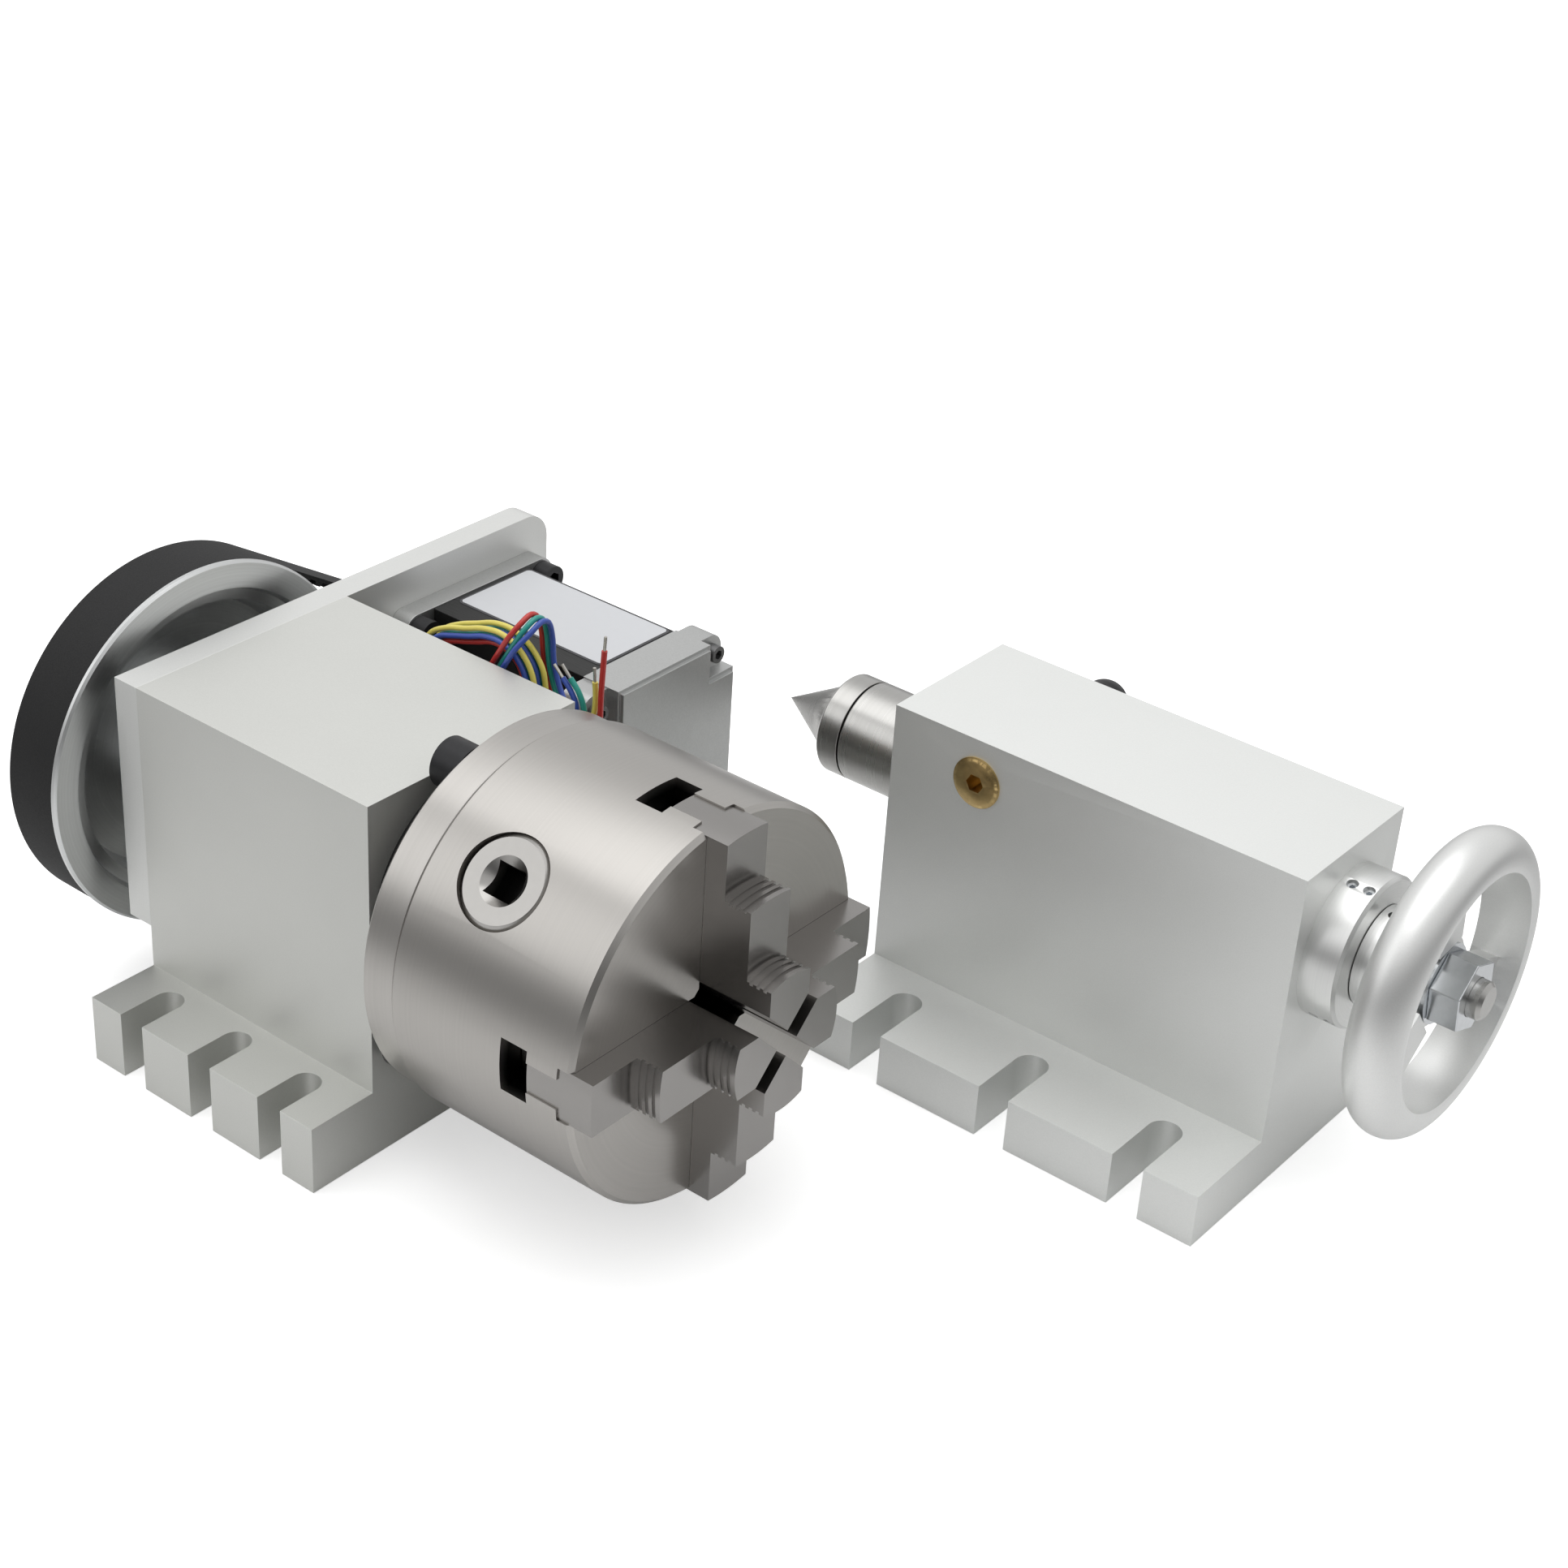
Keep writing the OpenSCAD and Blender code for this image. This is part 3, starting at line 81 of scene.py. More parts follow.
class NodeTree:
    """Adds shader nodes to one tree and links them."""

    def __init__(self, tree: bpy.types.NodeTree) -> None:
        """Keeps the tree.

        Args:
            tree: The material's or group's node tree.
        """
        self.tree = tree
        self.column = 0

    def add(self, kind: str, **settings: object) -> bpy.types.Node:
        """Adds a node and sets its properties.

        Args:
            kind: The node's type name, without the leading "ShaderNode".
            **settings: Properties to set on the node.

        Returns:
            The new node.
        """
        node = self.tree.nodes.new(kind if kind.startswith("Node") else "ShaderNode" + kind)
        node.location = (self.column * 190, 0)
        self.column += 1
        for name, value in settings.items():
            setattr(node, name, value)
        return node

    def link(self, source: bpy.types.NodeSocket, target: bpy.types.NodeSocket) -> None:
        """Links one output to one input."""
        self.tree.links.new(source, target)

    def feed(self, target: bpy.types.NodeSocket, value: object) -> None:
        """Links a socket, or sets a plain value, on an input."""
        if isinstance(value, bpy.types.NodeSocket):
            self.link(value, target)
        else:
            target.default_value = value

    def math(self, operation: str, first: object, second: object = 0.0) -> bpy.types.NodeSocket:
        """Does one sum on two values.

        Args:
            operation: The Math node's operation.
            first: A socket or a number.
            second: A socket or a number.

        Returns:
            The result's socket.
        """
        node = self.add("Math", operation=operation)
        self.feed(node.inputs[0], first)
        self.feed(node.inputs[1], second)
        return node.outputs[0]

    def noise(
        self, vector: bpy.types.NodeSocket, scale: object, detail: float
    ) -> bpy.types.NodeSocket:
        """Adds a noise and gives its grey output."""
        node = self.add("TexNoise")
        self.link(vector, node.inputs["Vector"])
        self.feed(node.inputs["Scale"], scale)
        node.inputs["Detail"].default_value = detail
        return node.outputs["Fac"]

    def tint(self, colour: object, amount: bpy.types.NodeSocket) -> bpy.types.NodeSocket:
        """Scales a colour by a grey value, as in colour times amount."""
        node = self.add("VectorMath", operation="SCALE")
        self.feed(node.inputs[0], colour)
        self.feed(node.inputs["Scale"], amount)
        return node.outputs[0]


class GrainGroup:
    """One shader node group for each grain, built once and shared by the finishes.

    Each group takes a colour, a roughness, a grain size, a contrast and a centre, and
    puts out a colour, a roughness and a height that change over the surface.
    """

    made: dict[Grain, bpy.types.NodeTree] = {}
    squeeze: dict[Grain, Point] = {
        Grain.BRUSHED: (0.05, 1.0, 1.0),
        Grain.BLASTED: (1.0, 1.0, 1.0),
        Grain.MOULDED: (0.6, 0.6, 0.6),
    }
    line_detail: float = 3.0
    cloud_scale: float = 28.0
    cloud_detail: float = 4.0

    @classmethod
    def get(cls, grain: Grain) -> bpy.types.NodeTree:
        """Gives the group for a grain, and builds it the first time."""
        if grain not in cls.made:
            cls.made[grain] = cls.build(grain)
        return cls.made[grain]

    @classmethod
    def pattern(
        cls, nodes: NodeTree, grain: Grain, place: bpy.types.NodeSocket
    ) -> bpy.types.NodeSocket:
        """Gives the coordinates that the fine noise reads.

        A turned face reads (x, radius, 0), so that it varies along the axis and outwards
        but not round it. A brushed one is squeezed to a twentieth along one direction.

        Args:
            nodes: The group's nodes.
            grain: Which pattern.
            place: The position, measured from the piece's centre.

        Returns:
            The coordinates' socket.
        """
        if grain is Grain.TURNED:
            parts = nodes.add("SeparateXYZ")
            nodes.link(place, parts.inputs[0])
            square_y = nodes.math("MULTIPLY", parts.outputs[1], parts.outputs[1])
            square_z = nodes.math("MULTIPLY", parts.outputs[2], parts.outputs[2])
            radius = nodes.math("SQRT", nodes.math("ADD", square_y, square_z))
            joined = nodes.add("CombineXYZ")
            nodes.link(parts.outputs[0], joined.inputs[0])
            nodes.link(radius, joined.inputs[1])
            return joined.outputs[0]
        scaled = nodes.add("VectorMath", operation="MULTIPLY")
        nodes.link(place, scaled.inputs[0])
        scaled.inputs[1].default_value = cls.squeeze[grain]
        return scaled.outputs[0]

    @classmethod
    def build(cls, grain: Grain) -> bpy.types.NodeTree:
        """Builds one group.

        Args:
            grain: Which pattern it makes.

        Returns:
            The node group.
        """
        tree = bpy.data.node_groups.new(f"grain_{grain.value}", "ShaderNodeTree")
        face = tree.interface
        face.new_socket("Colour", in_out="INPUT", socket_type="NodeSocketColor")
        for name in ("Roughness", "Fineness", "Contrast", "Mottle"):
            face.new_socket(name, in_out="INPUT", socket_type="NodeSocketFloat")
        face.new_socket("Centre", in_out="INPUT", socket_type="NodeSocketVector")
        face.new_socket("Colour", in_out="OUTPUT", socket_type="NodeSocketColor")
        face.new_socket("Roughness", in_out="OUTPUT", socket_type="NodeSocketFloat")
        face.new_socket("Height", in_out="OUTPUT", socket_type="NodeSocketFloat")
        nodes = NodeTree(tree)
        given = nodes.add("NodeGroupInput")
        where = nodes.add("TexCoord")
        place = nodes.add("VectorMath", operation="SUBTRACT")
        nodes.link(where.outputs["Object"], place.inputs[0])
        nodes.link(given.outputs["Centre"], place.inputs[1])
        pattern = cls.pattern(nodes, grain, place.outputs[0])
        lines = nodes.noise(pattern, given.outputs["Fineness"], cls.line_detail)
        cloud = nodes.noise(place.outputs[0], cls.cloud_scale, cls.cloud_detail)
        line_part = nodes.math("MULTIPLY", nodes.math("SUBTRACT", lines, 0.5), given.outputs["Contrast"])
        cloud_part = nodes.math("MULTIPLY", nodes.math("SUBTRACT", cloud, 0.5), given.outputs["Mottle"])
        both = nodes.math("ADD", line_part, cloud_part)
        shade = nodes.math("ADD", both, 1.0)
        rough = nodes.math("MULTIPLY", given.outputs["Roughness"], nodes.math("SUBTRACT", 1.0, both))
        out = nodes.add("NodeGroupOutput")
        nodes.link(nodes.tint(given.outputs["Colour"], shade), out.inputs["Colour"])
        nodes.link(rough, out.inputs["Roughness"])
        nodes.link(lines, out.inputs["Height"])
        return tree


# Painted shade: the colour is darkened deep in the chuck's slots and the pinions' sockets, where shade
# falls.
class PaintedRecessShadeGroup:
    """The shader node group that darkens what lies deep inside a turned piece.

    The depth is the least of (skin - radius), (front - x) and (edge - radius - x), where
    the radius is measured from the spindle's axis. The colour is scaled by
    1 - most * clip((depth - start) / reach): painted shade in the slots and sockets.
    """

    made: list[bpy.types.NodeTree] = []
    start: float = 0.3 * MM
    reach: float = 2.5 * MM
    most: float = 0.92

    @classmethod
    def get(cls) -> bpy.types.NodeTree:
        """Gives the group, and builds it the first time."""
        if not cls.made:
            cls.made.append(cls.build())
        return cls.made[0]

    @classmethod
    def build(cls) -> bpy.types.NodeTree:
        """Builds the group.

        Returns:
            The node group.
        """
        tree = bpy.data.node_groups.new("painted_recess_shade", "ShaderNodeTree")
        face = tree.interface
        face.new_socket("Colour", in_out="INPUT", socket_type="NodeSocketColor")
        for name in ("Skin", "Front", "Edge"):
            face.new_socket(name, in_out="INPUT", socket_type="NodeSocketFloat")
        face.new_socket("Colour", in_out="OUTPUT", socket_type="NodeSocketColor")
        nodes = NodeTree(tree)
        given = nodes.add("NodeGroupInput")
        where = nodes.add("TexCoord")
        parts = nodes.add("SeparateXYZ")
        nodes.link(where.outputs["Object"], parts.inputs[0])
        x, y, z = parts.outputs
        square_y, square_z = nodes.math("MULTIPLY", y, y), nodes.math("MULTIPLY", z, z)
        radius = nodes.math("SQRT", nodes.math("ADD", square_y, square_z))
        inward = nodes.math("SUBTRACT", given.outputs["Skin"], radius)
        back = nodes.math("SUBTRACT", given.outputs["Front"], x)
        under = nodes.math("SUBTRACT", given.outputs["Edge"], nodes.math("ADD", radius, x))
        depth = nodes.math("MINIMUM", nodes.math("MINIMUM", inward, back), under)
        deep = nodes.add("Clamp")
        past = nodes.math("SUBTRACT", depth, cls.start)
        nodes.link(nodes.math("DIVIDE", past, cls.reach), deep.inputs[0])
        shade = nodes.math("SUBTRACT", 1.0, nodes.math("MULTIPLY", deep.outputs[0], cls.most))
        out = nodes.add("NodeGroupOutput")
        nodes.link(nodes.tint(given.outputs["Colour"], shade), out.inputs["Colour"])
        return tree


@dataclass(frozen=True)
class Finish:
    """A surface finish: its colour, its gloss and the grain left by the way it was made."""

    name: str
    colour: Colour
    metallic: float
    roughness: float
    grain: Grain
    fineness: float = 900.0
    contrast: float = 0.3
    mottle: float = 0.12
    bump: float = 0.06
    coat: float = 0.0
    centre: Point = (0.0, 0.0, 0.0)
    # Where the painted shade in a turned piece's hollows starts: skin, front and edge, in metres; None
    # paints none.
    painted_recess_shade: Point | None = None

    def material(self) -> bpy.types.Material:
        """Builds the material, or gives the one already built.

        Returns:
            The material.
        """
        known = bpy.data.materials.get(self.name)
        if known is not None and known.get("dressed"):
            return known
        made = bpy.data.materials.new(self.name)
        made["dressed"] = True
        made.use_nodes = True
        made.diffuse_color = (*self.colour, 1.0)
        nodes = NodeTree(made.node_tree)
        shader = made.node_tree.nodes["Principled BSDF"]
        grain = nodes.add("Group")
        grain.node_tree = GrainGroup.get(self.grain)
        values = {
            "Colour": (*self.colour, 1.0),
            "Roughness": self.roughness,
            "Fineness": self.fineness,
            "Contrast": self.contrast,
            "Mottle": self.mottle,
            "Centre": self.centre,
        }
        for name, value in values.items():
            grain.inputs[name].default_value = value
        bump = nodes.add("Bump")
        bump.inputs["Strength"].default_value = self.bump
        bump.inputs["Distance"].default_value = BUMP_DEPTH
        nodes.link(grain.outputs["Height"], bump.inputs["Height"])
        colour = grain.outputs["Colour"]
        # Painted shade: darkens the colour deep in the piece's hollows.
        if self.painted_recess_shade is not None:
            deep = nodes.add("Group")
            deep.node_tree = PaintedRecessShadeGroup.get()
            nodes.link(colour, deep.inputs["Colour"])
            for name, value in zip(("Skin", "Front", "Edge"), self.painted_recess_shade):
                deep.inputs[name].default_value = value
            colour = deep.outputs["Colour"]
        nodes.link(colour, shader.inputs["Base Color"])
        nodes.link(grain.outputs["Roughness"], shader.inputs["Roughness"])
        nodes.link(bump.outputs[0], shader.inputs["Normal"])
        shader.inputs["Metallic"].default_value = self.metallic
        shader.inputs["Coat Weight"].default_value = self.coat
        return made


TAIL_AXIS: Point = (0.0, 0.127, 0.0)

# Each: name, colour, metallic, roughness, grain, fineness, contrast, mottle, bump, coat
ANODISED = Finish("anodised_billet", (0.64, 0.645, 0.62), 0.8, 0.5, Grain.BLASTED, 2600.0, 0.08, 0.05, 0.04)
TAIL_ANODISED = Finish(
    "anodised_tail", (0.78, 0.79, 0.775), 0.8, 0.48, Grain.BLASTED, 2600.0, 0.08, 0.05, 0.04
)
PLATE_ANODISED = Finish(
    "anodised_plate", (0.71, 0.715, 0.70), 0.8, 0.49, Grain.BLASTED, 2600.0, 0.08, 0.05, 0.04
)
CHUCK_STEEL = Finish(
    "chuck_steel", (0.44, 0.425, 0.405), 1.0, 0.31, Grain.TURNED, 1500.0, 0.12, 0.06, 0.03,
    # The chuck's slots and pinion holes get painted shade.
    painted_recess_shade=(50.0 * MM, 77.0 * MM, 125.8 * MM),
)
PLATE_STEEL = Finish(
    "backplate_steel", (0.46, 0.445, 0.425), 1.0, 0.31, Grain.TURNED, 1500.0, 0.12, 0.06, 0.03
)
JAW_STEEL = Finish("jaw_steel", (0.32, 0.31, 0.30), 1.0, 0.24, Grain.BRUSHED, 1800.0, 0.06, 0.06, 0.02)
PINION_STEEL = Finish(
    "pinion_steel", (0.42, 0.41, 0.395), 1.0, 0.28, Grain.MOULDED, 900.0, 0.06, 0.08, 0.02,
    # The pinions' faces deep in their sockets get painted shade.
    painted_recess_shade=(47.2 * MM, 1.0, 1.0),
)
PLAIN_STEEL = Finish("turned_steel", (0.50, 0.50, 0.49), 1.0, 0.28, Grain.TURNED, 1600.0, 0.18, 0.08, 0.05)
TAIL_STEEL = Finish(
    "quill_steel", (0.46, 0.455, 0.44), 1.0, 0.28, Grain.TURNED, 1600.0, 0.16, 0.08, 0.04, centre=TAIL_AXIS
)
PULLEY_ALLOY = Finish("pulley_alloy", (0.66, 0.67, 0.67), 1.0, 0.36, Grain.TURNED, 1300.0, 0.22, 0.08, 0.08)
WHEEL_ALLOY = Finish(
    "wheel_alloy", (0.79, 0.795, 0.785), 0.9, 0.42, Grain.BLASTED, 2600.0, 0.10, 0.05, 0.06, centre=TAIL_AXIS
)
RING_ALLOY = Finish(
    "ring_alloy", (0.77, 0.775, 0.765), 1.0, 0.36, Grain.TURNED, 1500.0, 0.16, 0.06, 0.06, centre=TAIL_AXIS
)
TIE_STEEL = Finish("tie_screw_steel", (0.16, 0.16, 0.16), 0.9, 0.40, Grain.MOULDED, 1200.0, 0.1, 0.1, 0.04)
ZINC = Finish("zinc_plate", (0.62, 0.64, 0.66), 1.0, 0.22, Grain.MOULDED, 900.0, 0.2, 0.15, 0.05)
BLACK_OXIDE = Finish("black_oxide", (0.022, 0.022, 0.024), 0.5, 0.42, Grain.MOULDED, 1200.0, 0.3, 0.2, 0.06)
LAMINATION = Finish(
    "motor_laminations", (0.012, 0.012, 0.012), 0.2, 0.5, Grain.BRUSHED, 2400.0, 0.4, 0.2, 0.10
)
CAST_GREY = Finish("die_cast_grey", (0.49, 0.495, 0.49), 0.9, 0.40, Grain.BLASTED, 2200.0, 0.2, 0.12, 0.12)
RUBBER = Finish("belt_rubber", (0.005, 0.005, 0.0055), 0.0, 0.72, Grain.BLASTED, 3000.0, 0.3, 0.2, 0.15)
BRASS = Finish("plug_brass", (0.55, 0.40, 0.18), 1.0, 0.26, Grain.BLASTED, 1500.0, 0.3, 0.15, 0.06)
BRONZE = Finish("bush_bronze", (0.38, 0.22, 0.10), 1.0, 0.4, Grain.BLASTED, 2000.0, 0.3, 0.2, 0.1)
LABEL_EDGE = Finish("label_border", (0.05, 0.05, 0.055), 0.0, 0.4, Grain.MOULDED, 700.0, 0.05, 0.05, 0.02)
LABEL_WHITE = Finish("label_film", (0.56, 0.57, 0.59), 0.0, 0.38, Grain.MOULDED, 700.0, 0.03, 0.04, 0.02)
TINNED = Finish("tinned_copper", (0.60, 0.58, 0.54), 1.0, 0.25, Grain.MOULDED, 4000.0, 0.3, 0.2, 0.1)


def wire_finish(name: str, colour: Colour) -> Finish:
    """Gives a wire's glossy insulation in one colour."""
    return Finish(f"wire_{name}", colour, 0.0, 0.32, Grain.MOULDED, 1200.0, 0.08, 0.12, 0.03, 0.2)


# Making pieces

STEPS_A_KNOT = 12
MERGE_WITHIN = 2e-6
FLAT_WITHIN = math.radians(0.6)


def mesh_piece(
    name: str,
    points: np.ndarray,
    faces: Sequence[Sequence[int]] | np.ndarray,
    finish: Finish,
    body: str,
    sharp_deg: float = 32.0,
) -> bpy.types.Object:
    """Makes a piece from arrays, gives it its finish and lets it ride on a body.

    Args:
        name: The piece's name.
        points: The corners, n by 3, in metres in the row's frame.
        faces: The corner numbers of each face.
        finish: Its finish.
        body: The CAD body it moves with.
        sharp_deg: Edges sharper than this stay sharp in the shading.

    Returns:
        The new object.
    """
    mesh = bpy.data.meshes.new(name)
    mesh.from_pydata(np.asarray(points, float).tolist(), [], [list(map(int, f)) for f in faces])
    mesh.validate()
    mesh.polygons.foreach_set("use_smooth", np.ones(len(mesh.polygons), bool))
    mesh.set_sharp_from_angle(angle=math.radians(sharp_deg))
    mesh.materials.append(finish.material())
    piece = bpy.data.objects.new(name, mesh)
    bpy.context.scene.collection.objects.link(piece)
    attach(piece, body)
    return piece


def grid_faces(
    rows: int, columns: int, close_rows: bool = False, close_columns: bool = False
) -> np.ndarray:
    """Gives the quads of a grid of points numbered row by row.

    The quad at (i, j) joins points (i, j), (i, j+1), (i+1, j+1) and (i+1, j).

    Args:
        rows: How many rows of points.
        columns: How many points in a row.
        close_rows: Whether the last row joins the first.
        close_columns: Whether the last point of a row joins its first.

    Returns:
        The quads' corner numbers, n by 4.
    """
    i = np.arange(rows if close_rows else rows - 1)
    j = np.arange(columns if close_columns else columns - 1)
    low, left = np.meshgrid(i, j, indexing="ij")
    high, right = (low + 1) % rows, (left + 1) % columns
    corners = [(low, left), (low, right), (high, right), (high, left)]
    quads = np.stack([row * columns + column for row, column in corners], axis=-1)
    return quads.reshape(-1, 4)


def path_frames(path: np.ndarray) -> tuple[np.ndarray, np.ndarray]:
    """Gives two cross directions along a path, turned as little as possible from point to point.

    Each direction is the one before it with its part along the new tangent taken off,
    scaled back to one.

    Args:
        path: The points, n by 3.

    Returns:
        Two arrays of unit vectors, n by 3.
    """
    tangents = np.gradient(path, axis=0)
    tangents /= np.linalg.norm(tangents, axis=1, keepdims=True)
    start = np.cross(tangents[0], (0.3, 0.9, 0.2))
    firsts = [start / np.linalg.norm(start)]
    for tangent in tangents[1:]:
        turned = firsts[-1] - tangent * np.dot(firsts[-1], tangent)
        firsts.append(turned / np.linalg.norm(turned))
    first = np.array(firsts)
    return first, np.cross(tangents, first)


def tube(path: np.ndarray, radius: float, sides: int = 12) -> tuple[np.ndarray, list[list[int]]]:
    """Carries a circle along a path and closes both ends.

    A point is path(t) + radius * (cos(a) * first(t) + sin(a) * second(t)).

    Args:
        path: The points of the centre line, n by 3.
        radius: The tube's radius.
        sides: How many sides the circle has.

    Returns:
        The points and the faces.
    """
    first, second = path_frames(path)
    angle = np.linspace(0, 2 * np.pi, sides, endpoint=False)
    across, along = np.cos(angle)[None, :, None], np.sin(angle)[None, :, None]
    ring = across * first[:, None] + along * second[:, None]
    points = (path[:, None] + radius * ring).reshape(-1, 3)
    faces = grid_faces(len(path), sides, close_columns=True).tolist()
    faces.append(list(range(sides - 1, -1, -1)))
    faces.append(list(range((len(path) - 1) * sides, len(path) * sides)))
    return points, faces


def smooth_path(knots: np.ndarray, spacing: float) -> np.ndarray:
    """Draws one smooth curve through points and samples it evenly.

    Between two knots b and c, with a before and d after them, a point of the curve is
    (2b + (c - a) t + (2a - 5b + 4c - d) t^2 + (3b - a - 3c + d) t^3) / 2. The curve's
    length is then divided into equal steps.

    Args:
        knots: The points it passes through, n by 3.
        spacing: The distance between samples.

    Returns:
        The samples, m by 3.
    """
    ends = np.vstack([2 * knots[0] - knots[1], knots, 2 * knots[-1] - knots[-2]])
    t = np.linspace(0, 1, STEPS_A_KNOT, endpoint=False)[None, :, None]
    a, b, c, d = (ends[i : len(ends) - 3 + i][:, None] for i in range(4))
    square, cube = 2 * a - 5 * b + 4 * c - d, 3 * b - a - 3 * c + d
    curve = 0.5 * (2 * b + (c - a) * t + square * t**2 + cube * t**3)
    line = np.vstack([curve.reshape(-1, 3), knots[-1:]])
    steps = np.concatenate([[0], np.cumsum(np.linalg.norm(np.diff(line, axis=0), axis=1))])
    wanted = np.linspace(0, steps[-1], max(4, int(steps[-1] / spacing)))
    return np.stack([np.interp(wanted, steps, line[:, k]) for k in range(3)], axis=1)


@dataclass(frozen=True)
class Softening:
    """How far a machined piece's edges are broken."""

    width: float = 0.3 * MM
    segments: int = 2
    limit_deg: float = 30.0


def soften(node: str, finish: Finish, how: Softening = Softening()) -> bpy.types.Object:
    """Makes a copy of a CAD node with broken edges, which then stands for it.

    Args:
        node: The CAD node.
        finish: The copy's finish.
        how: The width of the broken edges.

    Returns:
        The copy.
    """
    work = bmesh.new()
    work.from_mesh(frame["nodes"][node].data)
    bmesh.ops.remove_doubles(work, verts=work.verts, dist=MERGE_WITHIN)
    bmesh.ops.dissolve_limit(
        work,
        angle_limit=FLAT_WITHIN,
        verts=work.verts,
        edges=work.edges,
        use_dissolve_boundaries=False,
    )
    mesh = bpy.data.meshes.new(f"{node}_finished")
    work.to_mesh(mesh)
    work.free()
    mesh.polygons.foreach_set("use_smooth", np.ones(len(mesh.polygons), bool))
    mesh.set_sharp_from_angle(angle=math.radians(how.limit_deg))
    mesh.materials.clear()
    mesh.materials.append(finish.material())
    piece = bpy.data.objects.new(f"{node}_finished", mesh)
    bpy.context.scene.collection.objects.link(piece)
    bevel = piece.modifiers.new("edges", "BEVEL")
    bevel.width = how.width
    bevel.segments = how.segments
    bevel.limit_method = "ANGLE"
    bevel.angle_limit = math.radians(how.limit_deg)
    bevel.miter_outer = "MITER_ARC"
    bevel.harden_normals = True
    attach(piece, BODY_OF[node])
    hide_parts(node)
    return piece


def dress(finish: Finish, *nodes: str) -> None:
    """Gives CAD nodes a finish in their own material slots.

    Args:
        finish: The finish.
        *nodes: The CAD nodes.
    """
    for node in nodes:
        data = frame["nodes"][node].data
        data.materials.clear()
        data.materials.append(finish.material())


# Sub-assemblies


@dataclass
class Headstock:
    """The block with its foot, the bearing cover, the motor plate and their screws."""

    edge: Softening = field(default_factory=lambda: Softening(0.6 * MM, 3))

    def build(self) -> None:
        """Dresses the block's pieces."""
        soften("headstock_block", ANODISED, self.edge)
        soften("motor_plate", PLATE_ANODISED, self.edge)
        dress(BLACK_OXIDE, "plate_screws", "cover_screws", "front_cover")
        dress(
            PLAIN_STEEL,
            "front_bearing_outer",
            "front_bearing_inner",
            "front_bearing_balls",
            "rear_bearing_outer",
            "rear_bearing_inner",
            "rear_bearing_balls",
        )


@dataclass
class Drive:
    """The pulleys and the spindle behind the block."""

    def build(self) -> None:
        """Dresses the drive's pieces."""
        dress(PULLEY_ALLOY, "spindle_pulley", "motor_pulley")
        dress(PLAIN_STEEL, "spindle", "pulley_key", "motor_shaft")
        dress(BLACK_OXIDE, "locknut")


@dataclass
class Chuck:
    """The backplate, the chuck body, the jaws, the pinions and the scroll."""

    jaws: int = 4
    pinions: int = 3

    def build(self) -> None:
        """Dresses the chuck's pieces."""
        dress(PLATE_STEEL, "backplate")
        dress(CHUCK_STEEL, "chuck_body")
        dress(JAW_STEEL, *(f"jaw_{number}" for number in range(1, self.jaws + 1)))
        dress(PINION_STEEL, *(f"pinion_{number}" for number in range(1, self.pinions + 1)))
        dress(PLAIN_STEEL, "scroll", "scroll_cover")
        dress(BLACK_OXIDE, "nose_screws", "chuck_screws")


@dataclass
class Motor:
    """The stepper motor, its blank label and its screws."""

    top: float = -2.5 * MM + 27.9 * MM
    label_x: tuple[float, float] = (-72.6 * MM, -20.7 * MM)
    label_y: tuple[float, float] = (67.8 * MM, 95.9 * MM)
    film: float = 0.12 * MM
    border: float = 0.7 * MM
    corner: float = 2.0 * MM

    def plate(self, name: str, finish: Finish, inset: float, bottom: float) -> bpy.types.Object:
        """Makes a thin plate with rounded corners on the motor's top.

        Its outline is a rectangle's corners pushed out along quarter circles; the
        outline is carried from the plate's bottom up to its face.

        Args:
            name: The piece's name.
            finish: Its finish.
            inset: How far it stays inside the label's outline.
            bottom: The height of its underside.

        Returns:
            The plate.
        """
        radius = self.corner - inset
        turn = np.linspace(0, 2 * np.pi, 33)[:-1]
        x_mid, y_mid = np.mean(self.label_x), np.mean(self.label_y)
        x_half = (self.label_x[1] - self.label_x[0]) / 2 - radius - inset
        y_half = (self.label_y[1] - self.label_y[0]) / 2 - radius - inset
        x = x_mid + np.sign(np.cos(turn + 1e-6)) * x_half + radius * np.cos(turn)
        y = y_mid + np.sign(np.sin(turn + 1e-6)) * y_half + radius * np.sin(turn)
        low = np.stack([x, y, np.full_like(x, bottom)], axis=1)
        high = low + (0, 0, self.film)
        n = len(x)
        faces = grid_faces(2, n, close_columns=True).tolist()
        faces += [list(range(n, 2 * n)), list(range(n - 1, -1, -1))]
        points = np.vstack([low, high])
        return mesh_piece(name, points, faces, finish, "headstock")

    def label(self) -> None:
        """Makes the blank label: a dark film with a pale one on it, a border's width smaller."""
        self.plate("motor_label_border", LABEL_EDGE, 0.0, self.top)
        self.plate("motor_label", LABEL_WHITE, self.border, self.top + self.film)

    def build(self) -> None:
        """Dresses the motor's pieces."""
        soften("motor_flange", CAST_GREY, Softening(0.3 * MM, 2))
        soften("motor_cap", CAST_GREY, Softening(0.5 * MM, 2))
        soften("motor_stack", LAMINATION, Softening(0.2 * MM, 1))
        dress(BLACK_OXIDE, "motor_mount_screws")
        dress(TIE_STEEL, "motor_tie_screws")
        dress(RUBBER, "lead_grommet")
        self.label()


@dataclass(frozen=True)
class Wire:
    """One motor lead. Its points are in millimetres in the row's frame.

    Attributes:
        name: Its colour's name.
        colour: Its insulation's colour.
        row: Its place along X in the row at the grommet.
        radius: The radius of its turns in the hank.
        depth: Its first turn's place along Y.
        wrap: Its place beside the green wire where three wires cross the hank.
        last: How many turns it makes before it leaves the hank.
        rise: Its points from the grommet up to the hank.
        end: Its points from the hank to its free end.
    """

    name: str
    colour: Colour
    row: float
    radius: float
    depth: float
    wrap: float
    last: float
    rise: tuple[Point, ...]
    end: tuple[Point, ...]


